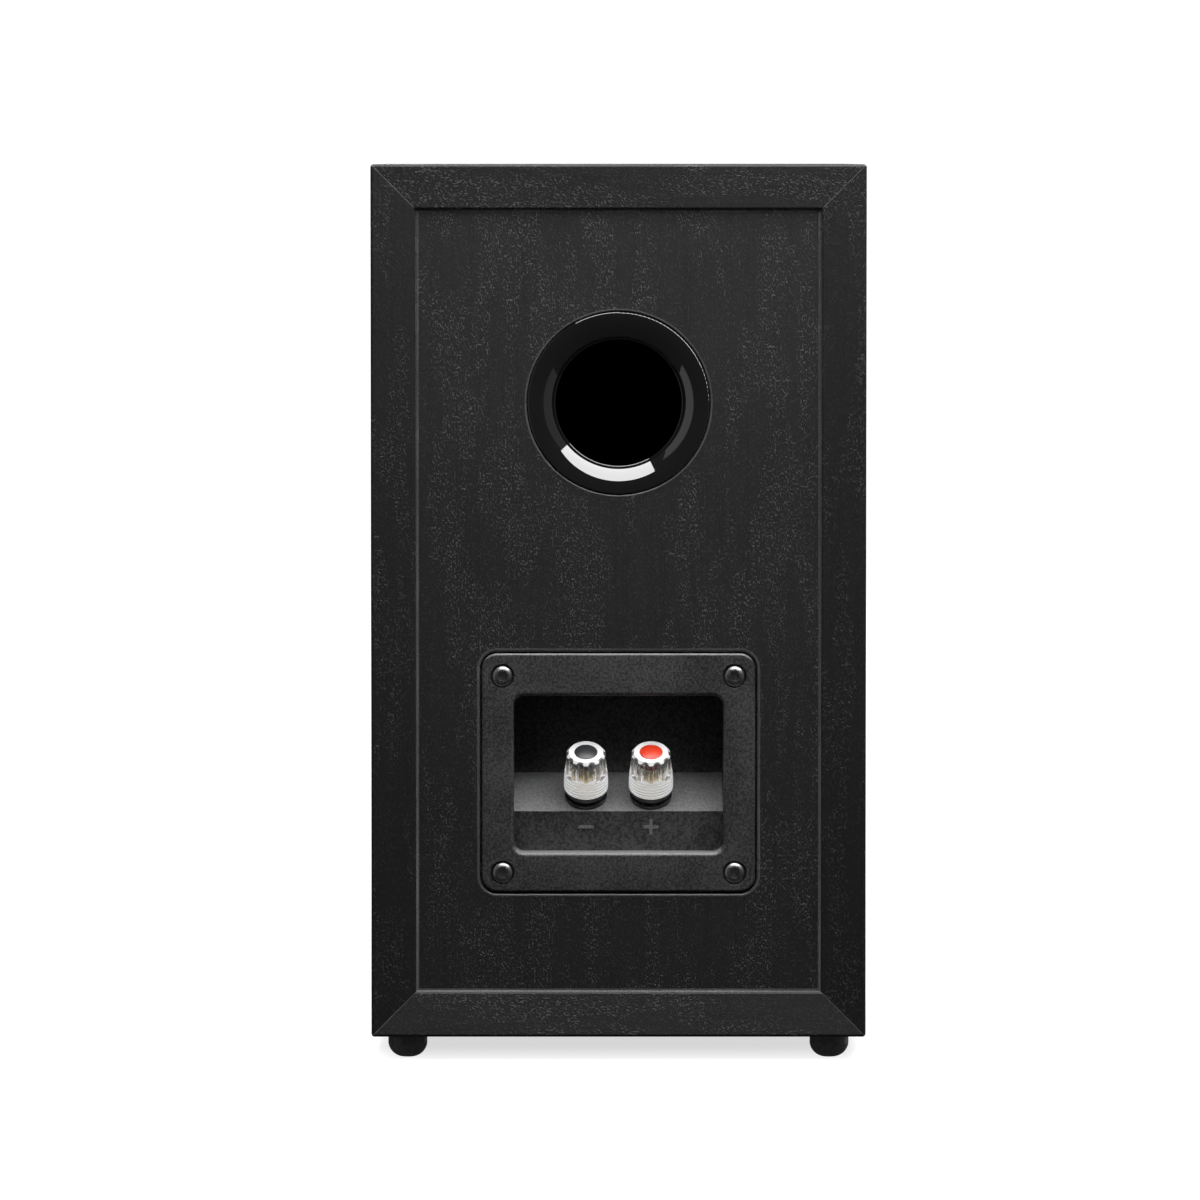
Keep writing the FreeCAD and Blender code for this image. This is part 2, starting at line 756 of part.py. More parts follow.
def socket_screw(name, head, tall, length, frame):
    """A round-headed screw with a hexagon socket. Its head seats at local z = 0."""
    outline = [
        ("0", f"-({length})"),
        ("screw_shank - 0.9", f"1.4 - ({length})"),
        ("screw_shank", f"2.6 - ({length})"),
        ("screw_shank", "0"),
        (head, "0"),
        (head, f"0.35 * {tall}", f"1.3 * {tall}"),
        (f"{head} - 0.9 * {tall}", tall),
        ("0", tall),
    ]
    owner = turned(name, [outline], frame)
    drill(owner, "XY_Plane", [hexagon("hex_radius")], f"0.75 * {tall}", offset=tall)
    return owner


def screw_set(name, head, tall, length, frames):
    keep(name, fuse(*(socket_screw(name, head, tall, length, frame) for frame in frames)))


def driver_screws(name, height, ring, seat):
    reach = f"({ring}) * cos(45)"
    places = [(f"{sx}{reach}", f"{height} {sz} {reach}") for sx in ("-", "") for sz in ("-", "+")]
    frames = [Frame(FACING_FRONT, x, f"{BAFFLE_FACE} - ({seat})", z) for x, z in places]
    screw_set(name, "screw_head", "1.6", "13", frames)


def binding_post(name, frame):
    stud = [
        ("0", "-9"),
        ("stud_thin - 0.4", "-9"),
        ("stud_thin", "-8.6"),
        ("stud_thin", "0"),
        ("stud_thick", "0"),
        ("stud_thick", "stud_top - 0.4"),
        ("stud_thick - 0.4", "stud_top"),
        ("banana_bore", "stud_top"),
        ("banana_bore", "1.2"),
        ("0", "1.2"),
    ]
    owner = turned(name + "_post_stud", [stud], frame)
    drill(owner, "YZ_Plane", [("0", "wire_height", "wire_hole")], "4 * stud_thick", both=True)
    keep(name + "_post_stud", owner)

    collar = [
        ("stud_thick", "0"),
        ("collar_radius", "0"),
        ("collar_radius", "1.0"),
        ("collar_radius - 0.9", "1.3"),
        ("collar_radius - 0.9", "2.1"),
        ("collar_radius - 0.2", "2.4"),
        ("collar_radius - 0.2", "collar_tall"),
        ("stud_thick", "collar_tall"),
    ]
    keep(name + "_post_collar", turned(name + "_post_collar", [collar], frame))

    owner = body(name + "_post_fixings")
    shank = ("0", "0", "stud_thin")
    for outline, low, tall in (
        (("0", "0", "4.6"), "-cup_wall - 0.8", "0.8"),
        (hexagon("4.04"), "-cup_wall - 3.4", "2.6"),
        (rounded_rectangle("5", "24", "2.4"), "-cup_wall - 4.0", "0.6"),
        (hexagon("4.04"), "-cup_wall - 6.2", "2.2"),
    ):
        extrude(owner, "Pad", sketch(owner, "XY_Plane", [outline, shank], low), tall)
    outer_half = rectangle("-3", "4.2", "3", "13")
    drill(owner, "XY_Plane", [outer_half], "1.2", both=True, offset="-cup_wall - 3.7")
    frame.hold(owner)
    keep(name + "_post_fixings", owner)

    knob_low = "collar_tall + knob_gap"
    insert_low = f"{knob_low} + insert_gap"
    bore = "stud_thick + thread_gap"
    insert = [
        (bore, insert_low),
        ("insert_radius", insert_low),
        ("insert_radius", "knob_seat"),
        ("banana_bore + 0.2", "knob_seat"),
        ("banana_bore + 0.2", "stud_top + 0.2"),
        (bore, "stud_top + 0.2"),
    ]
    keep(name + "_post_insert", turned(name + "_post_insert", [insert], frame))

    inner = "insert_radius + insert_gap"
    mouth = "stopper_radius + insert_gap"
    knob_top = f"{knob_low} + knob_tall"
    knob = [
        (inner, knob_low),
        ("knob_radius - 0.4", knob_low),
        ("knob_radius", f"{knob_low} + 0.4"),
        ("knob_radius", f"{knob_low} + 2.8"),
        ("knob_top_radius + 0.25", f"{knob_top} - 0.8"),
        ("knob_top_radius - 0.45", knob_top),
        (mouth, knob_top),
        (mouth, "knob_seat + insert_gap"),
        (inner, "knob_seat + insert_gap"),
    ]
    owner = turned(name + "_post_knob", [knob], frame)
    flute = sketch(owner, "XY_Plane", [("flute_centre", "0", "flute_radius")], "flute_start")
    pocket = extrude(owner, "Pocket", flute, "knob_tall", back=True)
    pattern = owner.newObject("PartDesign::PolarPattern", owner.Name + "_flutes")
    pattern.Originals = [pocket]
    pattern.Axis = (owner.Tip.Profile[0], ["N_Axis"])
    pattern.Angle = 360
    pattern.setExpression("Occurrences", "D.flutes")
    owner.Tip = pattern
    doc.recompute()
    keep(name + "_post_knob", owner)

    seat = "knob_seat + insert_gap"
    stopper = [
        ("0", "stud_top - 7"),
        ("stopper_stem - 0.3", "stud_top - 7"),
        ("stopper_stem", "stud_top - 6.6"),
        ("stopper_stem", seat),
        ("stopper_radius", seat),
        ("stopper_radius", f"{knob_top} + 0.1", "(stopper_radius^2 + 0.6^2) / (2 * 0.6)"),
        ("0", f"{knob_top} + 0.7"),
    ]
    keep(name + "_post_stopper", turned(name + "_post_stopper", [stopper], frame))


for post_name, post_frame in POSTS.items():
    binding_post(post_name, post_frame)
cup_frames = []
for screw_x, screw_y in corners_of("cup_screw_wide", "cup_screw_tall"):
    cup_frames.append(Frame(FACING_BACK, *cup_level(screw_x, screw_y, f"{CUP_FACE} - screw_sink_depth")))
screw_set("cup_screws", "cup_screw_head", "1.4", "14", cup_frames)


# ---------------------------------------------------------------- woofer


def woofer():
    wall = "woofer_hole - 0.2"
    inner = f"{wall} - basket_wall"
    shelf = "-shelf_depth"
    floor = "-plate_depth"
    ledge = "-1.0"
    basket = [
        ("woofer_flange", "0"),
        ("woofer_flange", "basket_metal"),
        (inner, "basket_metal"),
        (inner, ledge),
        ("roll_outer", ledge),
        ("roll_outer", f"{ledge} - basket_metal"),
        (inner, f"{ledge} - basket_metal"),
        (inner, "-8"),
        ("35.2", shelf),
        ("31", shelf),
        ("31", f"{floor} + basket_metal"),
        ("gap_radius + 0.6", f"{floor} + basket_metal"),
        ("gap_radius + 0.6", floor),
        ("32.2", floor),
        ("32.2", f"{shelf} - basket_metal"),
        ("35.7", f"{shelf} - basket_metal"),
        (wall, "-8.4"),
        (wall, "0"),
    ]
    owner = turned("woofer_basket", [basket], WOOFER)
    window = rectangle("-22", f"{shelf} + 1.6", "22", "-9.2")
    drill(owner, "XZ_Plane", [window], "3 * woofer_flange", both=True)
    drill(owner, "YZ_Plane", [window], "3 * woofer_flange", both=True)
    apart = "2 * woofer_screw_ring * cos(45)"
    holes = [(x, y, "screw_shank + pilot_gap") for x, y in corners_of(apart, apart)]
    drill(owner, "XY_Plane", holes, "8", both=True)
    keep("woofer_basket", owner)

    trim = [
        ("roll_outer + 0.9", f"{ledge} + roll_sheet"),
        (inner, f"{ledge} + roll_sheet"),
        (inner, "basket_metal"),
        (f"{inner} + 1.2", "basket_metal"),
        (f"{inner} + 1.2", "basket_metal + 0.8", "0.5"),
        (f"{inner} + 0.7", "basket_metal + 1.3"),
        ("roll_outer + 1.4", "basket_metal + 1.3", "0.5"),
        ("roll_outer + 0.9", "basket_metal + 0.8"),
    ]
    keep("woofer_trim_ring", turned("woofer_trim_ring", [trim], WOOFER))

    top = f"{ledge} + roll_sheet"
    surround = [
        ("roll_inner - 1.8", ledge),
        ("roll_inner", ledge, "-3.0"),
        ("roll_outer", ledge),
        (inner, ledge),
        (inner, top),
        ("roll_outer + 0.5", top, "3.7"),
        ("roll_inner - 0.5", top),
        ("roll_inner - 1.8", top),
    ]
    keep("woofer_surround", turned("woofer_surround", [surround], WOOFER))

    neck = "coil_inner + 0.3"
    cone = [
        (neck, "-15.2"),
        (neck, "-14.4", "-70"),
        ("roll_inner - 2.2", f"{ledge} - 0.1"),
        ("roll_inner - 1.8", ledge),
        ("roll_inner - 0.2", ledge),
        ("roll_inner - 0.2", f"{ledge} - 0.6"),
        ("roll_inner - 1.8", f"{ledge} - 0.7", "70"),
    ]
    keep("woofer_cone", turned("woofer_cone", [cone], WOOFER))

    cap = [
        ("0", "-6.2", "-(15^2 + 4.8^2) / (2 * 4.8)"),
        ("15", "-11"),
        ("15.7", "-10.55", "(15.7^2 + 5^2) / (2 * 5)"),
        ("0", "-5.55"),
    ]
    keep("woofer_dust_cap", turned("woofer_dust_cap", [cap], WOOFER))

    coil = [
        ("coil_inner", "-37"),
        (neck, "-37"),
        (neck, "-36.4"),
        ("coil_outer", "-36.4"),
        ("coil_outer", "-27.4"),
        (neck, "-27.4"),
        (neck, "-12.6"),
        ("coil_inner", "-12.6"),
    ]
    keep("woofer_voice_coil", turned("woofer_voice_coil", [coil], WOOFER))

    waves = 8
    radii = [f"13 + {i} * 17 / {waves}" for i in range(waves + 1)]
    sheet = "0.4"
    under = [(neck, shelf)]
    under += [(r, shelf, "-1.35" if i % 2 else "1.35") for i, r in enumerate(radii[:-1])]
    under += [(radii[-1], shelf), ("34", shelf), ("34", f"{shelf} + {sheet}")]
    lifted = f"{shelf} + {sheet}"
    over = [(r, lifted, "-1.35" if i % 2 else "1.35") for i, r in enumerate(reversed(radii[1:]))]
    over += [(radii[0], lifted), (neck, lifted)]
    keep("woofer_spider", turned("woofer_spider", [under + over], WOOFER))

    plate = hollow_ring("gap_radius", "plate_radius", f"{floor} - plate_tall", floor)
    keep("woofer_top_plate", turned("woofer_top_plate", [plate], WOOFER))
    magnet_top = f"{floor} - plate_tall"
    magnet_low = f"{magnet_top} - magnet_tall"
    magnet = [
        ("16", magnet_low),
        ("magnet_radius - 1", magnet_low),
        ("magnet_radius", f"{magnet_low} + 1"),
        ("magnet_radius", f"{magnet_top} - 1"),
        ("magnet_radius - 1", magnet_top),
        ("16", magnet_top),
    ]
    keep("woofer_magnet", turned("woofer_magnet", [magnet], WOOFER))
    yoke = [
        ("0", f"{magnet_low} - yoke_tall"),
        ("plate_radius - 2", f"{magnet_low} - yoke_tall"),
        ("plate_radius", f"{magnet_low} - yoke_tall + 2"),
        ("plate_radius", magnet_low),
        ("pole_radius", magnet_low),
        ("pole_radius", f"{floor} - 0.4"),
        ("pole_radius - 0.4", floor),
        ("0", floor),
    ]
    keep("woofer_yoke", turned("woofer_yoke", [yoke], WOOFER))
    driver_screws("woofer_screws", "woofer_height", "woofer_screw_ring", "basket_metal")
    driver_terminals("woofer_terminals", "woofer_height", "32.2", "25", "4", "6")


def driver_terminals(name, height, radius, depth, apart, tall):
    """A small block seated on the driver's underside, depth behind the baffle, with two tabs downwards."""
    y = f"{BAFFLE_FACE} + {depth}"
    base = f"{height} - {radius}"
    driver = rod(radius, f"{tall} + 2", "0", f"{y} + {tall} / 2 + 1", height, FACING_FRONT)
    mount = cut(block(f"4 * {apart}", tall, "4", "0", y, f"{base} - 3.2"), driver)
    tabs = [block("2.8", "0.8", "9", f"{sign}{apart}", y, f"{base} - 9.4") for sign in ("-", "")]
    keep(name, fuse(mount, *tabs))


woofer()


# ---------------------------------------------------------------- tweeter


def tweeter():
    boss = "tweeter_hole - 0.3"
    face = [
        ("16.8", "-face_back"),
        (boss, "-face_back"),
        (boss, "0"),
        ("tweeter_flange", "0"),
        ("tweeter_flange", "face_thick - 0.8", "0.8"),
        ("tweeter_flange - 0.8", "face_thick"),
        ("24", "face_thick", "-18"),
        ("15.1", "-0.6"),
        ("15.1", "-1.0"),
        ("16.8", "-1.0"),
    ]
    owner = turned("tweeter_faceplate", [face], TWEETER)
    reach = "tweeter_screw_ring * cos(45)"
    places = [(f"{sx}{reach}", f"{sy}{reach}") for sx in ("-", "") for sy in ("-", "")]
    drill(owner, "XY_Plane", [(x, y, "screw_head + 0.3") for x, y in places], "1.7", offset="face_thick")
    drill(owner, "XY_Plane", [(x, y, "screw_shank + pilot_gap") for x, y in places], "9", both=True)
    keep("tweeter_faceplate", owner)

    rise, skin = "dome_tall", "0.4"
    dome = [
        ("0", f"{rise} - 1.2 - {skin}", f"-((dome_radius - 0.3)^2 + {rise}^2) / (2 * {rise})"),
        ("dome_radius - 0.3", f"-1.2 - {skin}"),
        ("dome_radius", f"-1.2 - {skin}"),
        ("dome_radius", "-1.2", f"(dome_radius^2 + {rise}^2) / (2 * {rise})"),
        ("0", f"{rise} - 1.2"),
    ]
    keep("tweeter_dome", turned("tweeter_dome", [dome], TWEETER))
    roll = [
        ("dome_radius", "-1.3"),
        ("dome_radius + 0.1", "-1.3", "-1.1"),
        ("14.6", "-1.3"),
        ("16.6", "-1.3"),
        ("16.6", "-1.05"),
        ("14.9", "-1.05", "1.45"),
        ("dome_radius", "-1.05"),
    ]
    keep("tweeter_surround", turned("tweeter_surround", [roll], TWEETER))
    coil = hollow_ring("dome_radius - 0.3", "dome_radius + 0.1", "-7.2", "-1.6")
    keep("tweeter_voice_coil", turned("tweeter_voice_coil", [coil], TWEETER))
    plate_low = "-face_back - tweeter_plate"
    plate = hollow_ring("dome_radius + 0.5", "24", plate_low, "-face_back")
    keep("tweeter_top_plate", turned("tweeter_top_plate", [plate], TWEETER))
    magnet_low = f"{plate_low} - tweeter_magnet"
    magnet = hollow_ring("15.5", "25.5", magnet_low, plate_low)
    keep("tweeter_magnet", turned("tweeter_magnet", [magnet], TWEETER))
    yoke = [
        ("0", f"{magnet_low} - tweeter_yoke"),
        ("22.5", f"{magnet_low} - tweeter_yoke"),
        ("24", f"{magnet_low} - tweeter_yoke + 1.5"),
        ("24", magnet_low),
        ("dome_radius - 0.7", magnet_low),
        ("dome_radius - 0.7", "-face_back"),
        ("0", "-face_back"),
    ]
    keep("tweeter_yoke", turned("tweeter_yoke", [yoke], TWEETER))
    driver_screws("tweeter_screws", "tweeter_height", "tweeter_screw_ring", "face_thick - 1.7")
    driver_terminals("tweeter_terminals", "tweeter_height", "24", "17.6", "3", "3.4")


tweeter()


def grille_sockets():
    """Rubber cups in the baffle that a grille's pegs would push into."""
    middle = "foot_rise + cab_height / 2"
    outline = [
        ("0", "-10"),
        ("socket_radius", "-10"),
        ("socket_radius", "0"),
        ("socket_radius + 1", "0"),
        ("socket_radius + 1", "0.4", "0.4"),
        ("socket_radius + 0.6", "0.8"),
        ("socket_bore", "0.8"),
        ("socket_bore", "-9"),
        ("0", "-9"),
    ]
    cups = []
    for x, z in corners_of("socket_wide", "socket_tall"):
        place = Frame(FACING_FRONT, x, BAFFLE_FACE, f"{middle} + {z}")
        cups.append(turned("grille_socket", [outline], place))
    keep("grille_sockets", fuse(*cups))


grille_sockets()


# ---------------------------------------------------------------- inside the cabinet


BOARD_TOP = "foot_rise + board + crossover_lift + crossover_thick"
BOARD_MIDDLE = "cab_depth / 2 - panel_inset - back_thick - crossover_back - crossover_deep / 2"


def crossover():
    owner = body("crossover_board")
    outline = rounded_rectangle("crossover_wide", "crossover_deep", "3")
    inset = corners_of("crossover_wide - 10", "crossover_deep - 10")
    holes = [(x, y, "screw_shank + pilot_gap") for x, y in inset]
    extrude(owner, "Pad", sketch(owner, "XY_Plane", [outline, *holes]), "crossover_thick")
    Frame(UPRIGHT, "0", BOARD_MIDDLE, f"{BOARD_TOP} - crossover_thick").hold(owner)
    keep("crossover_board", owner)

    mounts = []
    for x, y in corners_of("crossover_wide - 10", "crossover_deep - 10"):
        place = Frame(UPRIGHT, x, f"{BOARD_MIDDLE} + {y}", BOARD_TOP)
        spacer_top = "-crossover_thick"
        spacer = hollow_ring("screw_shank", "3.5", f"{spacer_top} - crossover_lift", spacer_top)
        mounts.append(turned("crossover_spacer", [spacer], place))
        reach = "crossover_thick + crossover_lift"
        mounts.append(socket_screw("crossover_screw", "screw_head", "1.6", reach, place))
    keep("crossover_mounts", fuse(*mounts))

    coils = (("large", "-26", "14", "17", "7", "16"), ("small", "26", "16", "12", "5", "12"))
    for size, x, y, outer, inner, tall in coils:
        place = Frame(UPRIGHT, x, f"{BOARD_MIDDLE} + {y}", BOARD_TOP)
        ring = [
            (inner, "0"),
            (f"{outer} - 1", "0", "1"),
            (outer, "1"),
            (outer, f"{tall} - 1", "1"),
            (f"{outer} - 1", tall),
            (inner, tall),
        ]
        keep(f"crossover_inductor_{size}", turned("inductor_" + size, [ring], place))
    cans = (("large", "-21", "-17", "7.5", "32"), ("small", "24", "-20", "6", "26"))
    for size, x, y, radius, length in cans:
        place = Frame(Rotation(Vector(0, 1, 0), 90), x, f"{BOARD_MIDDLE} + {y}", f"{BOARD_TOP} + {radius}")
        end = f"{length} / 2"
        can = [
            ("0", f"-{end}"),
            (f"{radius} - 1", f"-{end}", "1"),
            (radius, f"1 - {end}"),
            (radius, f"{end} - 1", "1"),
            (f"{radius} - 1", end),
            ("0", end),
        ]
        keep(f"crossover_capacitor_{size}", turned("capacitor_" + size, [can], place))
    keep("crossover_resistor", block("24", "9", "9", "24", f"{BOARD_MIDDLE} - 6", BOARD_TOP))


def leads():
    """Pairs of wires: from the binding posts' tags to the board, and from the board to each driver."""
    board_top = value(BOARD_TOP) + value("lead_radius")
    middle, half = value(BOARD_MIDDLE), value("crossover_deep / 2")
    face = value(BAFFLE_FACE)
    wire = value("lead_radius")
    tag = 12 - 1.0
    pair = []
    for frame in POSTS.values():
        start = frame.point(0, -tag, -value("cup_wall") - 4.0 - wire)
        x = start.x
        back = middle + half
        route = [start, Vector(x, start.y - 7, start.z - 4), Vector(x, back + 4, 44),
                 Vector(x, back + 1, board_top + 1.5), Vector(x, back - 9, board_top)]
        pair.append(tube_along(route, wire))
    free_shape("input_leads", Part.makeCompound(pair))

    front = middle - half
    pair = []
    for side in (-1, 1):
        x, y = 4.0 * side, face + 25
        low = value("woofer_height") - 32.2 - 9.4 - 0.1
        route = [Vector(x, y, low), Vector(x, y, low - 10), Vector(x, front - 8, board_top + 2),
                 Vector(x, front + 8, board_top)]
        pair.append(tube_along(route, wire))
    free_shape("woofer_leads", Part.makeCompound(pair))

    pair = []
    for side in (-1, 1):
        x, y = 3.0 * side, face + 17.6
        low = value("tweeter_height") - 24 - 9.4 - 0.1
        aside = x + 8 * side
        route = [Vector(x, y, low), Vector(x, y, low - 9), Vector(aside, face + 66, low - 12),
                 Vector(aside, face + 66, 50), Vector(aside, front - 4, board_top + 5),
                 Vector(aside, front + 7, board_top)]
        pair.append(tube_along(route, wire))
    free_shape("tweeter_leads", Part.makeCompound(pair))


def damping():
    """Wadding along both sides and under the top, clear of the drivers, the port and the wiring."""
    side = "(cab_width / 2 - board - pad_thick / 2)"
    wide = "cab_depth - 60"
    tall = "cab_height - 2 * board - 62"
    z = "foot_rise + board + 56"
    pads = [block("pad_thick", wide, tall, x, "0", z) for x in (f"-{side}", side)]
    lid = block("cab_width - 2 * board - 2 * pad_thick - 4", wide, "pad_thick", "0", "0",
                "foot_rise + cab_height - board - pad_thick")
    keep("damping_pads", fuse(*pads, lid))


crossover()
leads()
damping()


def write_parts():
    """Checks every object and writes each sub-part's STEP file."""
    doc.recompute()
    failed = [thing.Label for thing in doc.Objects if {"Invalid", "Error"} & set(thing.State)]
    if failed:
        raise RuntimeError(f"these objects failed: {failed}")
    os.makedirs("parts", exist_ok=True)
    for name, thing in subparts.items():
        shape = thing.Shape
        if shape.isNull() or not shape.isValid() or not shape.Solids:
            raise RuntimeError(f"{name} has no valid solid")
        shape.exportStep(os.path.join("parts", name + ".step"))


write_parts()
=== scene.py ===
"""Bookshelf speaker, seen from behind: finishes, soft parts, stage and camera around the CAD frame.

Positions are in metres, +Z up, with the drivers facing -Y and the terminals +Y. Profiles and other sizes of
the object are written in millimetres and brought to metres with MM.
"""

import itertools
import json
import math
import random

import bmesh
import bpy
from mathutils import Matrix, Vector, noise


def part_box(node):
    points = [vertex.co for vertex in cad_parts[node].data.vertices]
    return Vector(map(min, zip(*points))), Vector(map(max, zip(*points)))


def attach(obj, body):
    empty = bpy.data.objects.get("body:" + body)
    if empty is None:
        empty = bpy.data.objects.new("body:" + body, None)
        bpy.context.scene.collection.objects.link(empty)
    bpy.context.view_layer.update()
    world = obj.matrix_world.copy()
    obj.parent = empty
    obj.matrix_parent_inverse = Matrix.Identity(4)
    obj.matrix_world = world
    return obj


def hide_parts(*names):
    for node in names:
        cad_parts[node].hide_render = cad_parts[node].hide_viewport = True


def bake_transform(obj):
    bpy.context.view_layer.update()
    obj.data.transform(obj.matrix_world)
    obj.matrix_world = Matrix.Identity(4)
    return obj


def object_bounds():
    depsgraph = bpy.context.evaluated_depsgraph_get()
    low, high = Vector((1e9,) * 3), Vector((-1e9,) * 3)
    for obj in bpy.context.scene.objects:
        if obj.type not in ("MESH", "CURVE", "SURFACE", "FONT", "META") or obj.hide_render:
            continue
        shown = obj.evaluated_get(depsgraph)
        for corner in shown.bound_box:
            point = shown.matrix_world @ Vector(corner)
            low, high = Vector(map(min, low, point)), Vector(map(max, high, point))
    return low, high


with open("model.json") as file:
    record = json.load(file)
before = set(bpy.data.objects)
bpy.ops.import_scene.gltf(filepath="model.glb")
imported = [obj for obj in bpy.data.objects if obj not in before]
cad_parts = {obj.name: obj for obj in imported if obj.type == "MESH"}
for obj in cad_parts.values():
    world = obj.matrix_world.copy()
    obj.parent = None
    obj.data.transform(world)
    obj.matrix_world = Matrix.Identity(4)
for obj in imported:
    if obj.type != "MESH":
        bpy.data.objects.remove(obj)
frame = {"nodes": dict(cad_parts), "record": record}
cad_box = [list(corner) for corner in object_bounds()]
nodes = frame["nodes"]
scene = bpy.context.scene
MM = 0.001


def front_centre(node):
    """The middle of a node's box, brought out to the baffle's front."""
    low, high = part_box(node)
    return Vector(((low.x + high.x) / 2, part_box("front_baffle")[0].y, (low.z + high.z) / 2))


HALF_DEPTH = cad_box[1][1]
WOOFER = front_centre("woofer_basket")
TWEETER = front_centre("tweeter_faceplate")
POSTS = ("negative", "positive")
POST_TURN = next(joint for joint in frame["record"]["behaviour"]["joints"]
                 if joint["name"] == "negative_post_turn")
POST_FOOT = Vector(POST_TURN["pos_m"])
POST_AXIS = Vector(POST_TURN["axis"])
WHITE = (1, 1, 1, 1)


# ---------------------------------------------------------------- shader helpers


class Tree:
    """A material's node tree, with short calls that return output sockets."""

    def __init__(self, name):
        self.material = bpy.data.materials.new(name)
        self.material.use_nodes = True
        self.nodes = self.material.node_tree.nodes
        self.links = self.material.node_tree.links
        self.shader = self.nodes["Principled BSDF"]

    def node(self, kind, inputs=None, **settings):
        made = self.nodes.new(kind)
        for key, value in settings.items():
            setattr(made, key, value)
        for key, value in (inputs or {}).items():
            self.feed(made.inputs[key], value)
        return made

    def feed(self, socket, value):
        if isinstance(value, bpy.types.NodeSocket):
            self.links.new(value, socket)
        else:
            socket.default_value = value

    def set(self, **values):
        """Feeds the shader's inputs, an underscore standing for a space."""
        for key, value in values.items():
            self.feed(self.shader.inputs[key.replace("_", " ")], value)

    def here(self):
        """Object coordinates in metres."""
        return self.node("ShaderNodeTexCoord").outputs["Object"]

    def place(self, scale=(1, 1, 1)):
        """Object coordinates, scaled: under 1 along an axis draws a pattern out along it."""
        return self.node("ShaderNodeMapping", {"Vector": self.here(), "Scale": scale}).outputs[0]

    def split(self, vector):
        """A vector's three parts, by the names X, Y and Z."""
        return self.node("ShaderNodeSeparateXYZ", {0: vector}).outputs

    def noise(self, vector, scale, detail=3.0, roughness=0.55, distortion=0.0):
        made = self.node("ShaderNodeTexNoise", {"Vector": vector, "Scale": scale, "Detail": detail,
                                                "Roughness": roughness, "Distortion": distortion})
        return made.outputs["Fac"]

    def wave(self, vector, scale, axis, distortion):
        """Ridges that follow one another along an axis."""
        made = self.node("ShaderNodeTexWave", {"Vector": vector, "Scale": scale, "Distortion": distortion},
                         wave_type="BANDS", bands_direction=axis)
        return made.outputs["Fac"]

    def vector(self, operation, a, b=(0, 0, 0), output="Vector"):
        made = self.node("ShaderNodeVectorMath", operation=operation)
        self.feed(made.inputs[0], a)
        self.feed(made.inputs[1], b)
        return made.outputs[output]

    def math(self, operation, a, b=0.0):
        made = self.node("ShaderNodeMath", operation=operation)
        self.feed(made.inputs[0], a)
        self.feed(made.inputs[1], b)
        return made.outputs[0]

    def span(self, value, low, high, to_low=0.0, to_high=1.0):
        """value mapped smoothly from low..high to to_low..to_high, and held outside."""
        ends = {"From Min": low, "From Max": high, "To Min": to_low, "To Max": to_high}
        made = self.node("ShaderNodeMapRange", {"Value": value, **ends}, interpolation_type="SMOOTHSTEP")
        return made.outputs[0]

    def blend(self, factor, a, b):
        made = self.node("ShaderNodeMix", data_type="RGBA")
        self.feed(made.inputs[0], factor)
        self.feed(made.inputs[6], a)
        self.feed(made.inputs[7], b)
        return made.outputs[2]

    def bump(self, *layers):
        """Relief given as (socket, depth in metres), one layer laid on the other."""
        normal = None
        for height, depth in layers:
            inputs = {"Height": height, "Distance": depth, "Strength": 1.0}
            if normal:
                inputs["Normal"] = normal
            normal = self.node("ShaderNodeBump", inputs).outputs[0]
        self.set(Normal=normal)


def grey(level):
    """A neutral colour, very slightly blue."""
    return (level, level, level * 1.02, 1)


def shade(colour, share=1):
    """A colour of three parts with its brightness multiplied, as the four parts that a socket takes."""
    return tuple(channel * share for channel in colour) + (1,)


def ash_vinyl(name, grain, level, crest):
    """Black ash film, with its grain along the axis named grain.

    Wavy bands of fine embossed pebbles run along the grain, with smooth film between them. level is the
    film's grey, which the callers set per board with painted light and shade in it. The pebbles are crest
    times as bright: partly the film's own grain, partly a painted highlight where their tops catch the
    light.
    """
    t = Tree(name)

    def drawn_out(share):
        return (share, 1, 1) if grain == "x" else (1, 1, share)

    band = t.span(t.noise(t.place(drawn_out(0.2)), 150, detail=2, distortion=0.5), 0.4, 0.6)
    worm = t.noise(t.place(drawn_out(0.7)), 1900, detail=1, roughness=0.5, distortion=0.15)
    vigour = t.span(t.noise(t.place(), 600, detail=1), 0.35, 0.7, 0.25, 1)
    pebble = t.math("MULTIPLY", t.span(worm, 0.5, 0.64), vigour)
    raised = t.math("MULTIPLY", pebble, t.span(band, 0, 1, 0.3, 1))
    grit = t.noise(t.place(), 2800, detail=2, roughness=0.6)
    streak = t.noise(t.place(drawn_out(0.03)), 900, detail=2, roughness=0.5)
    patch = t.noise(t.place(), 20, detail=2)
    ground = t.blend(t.span(patch, 0.3, 0.7), grey(level * 0.9), grey(level * 1.1))
    ground = t.blend(t.math("MULTIPLY", t.span(streak, 0.48, 0.7), 0.4), ground, grey(level * 0.6))
    ground = t.blend(t.math("MULTIPLY", t.span(grit, 0.5, 0.75), 0.3), ground, grey(level * 2.5))
    # The pebbles are painted lighter than the film: partly the film's own grain, partly a painted highlight
    # on their tops.
    t.set(Base_Color=t.blend(raised, ground, grey(level * crest)))
    t.set(Roughness=t.span(raised, 0, 1, 0.5, 0.34), Specular_IOR_Level=0.3)
    t.bump((raised, 0.08 * MM), (streak, 0.02 * MM), (grit, 0.012 * MM))
    return t.material


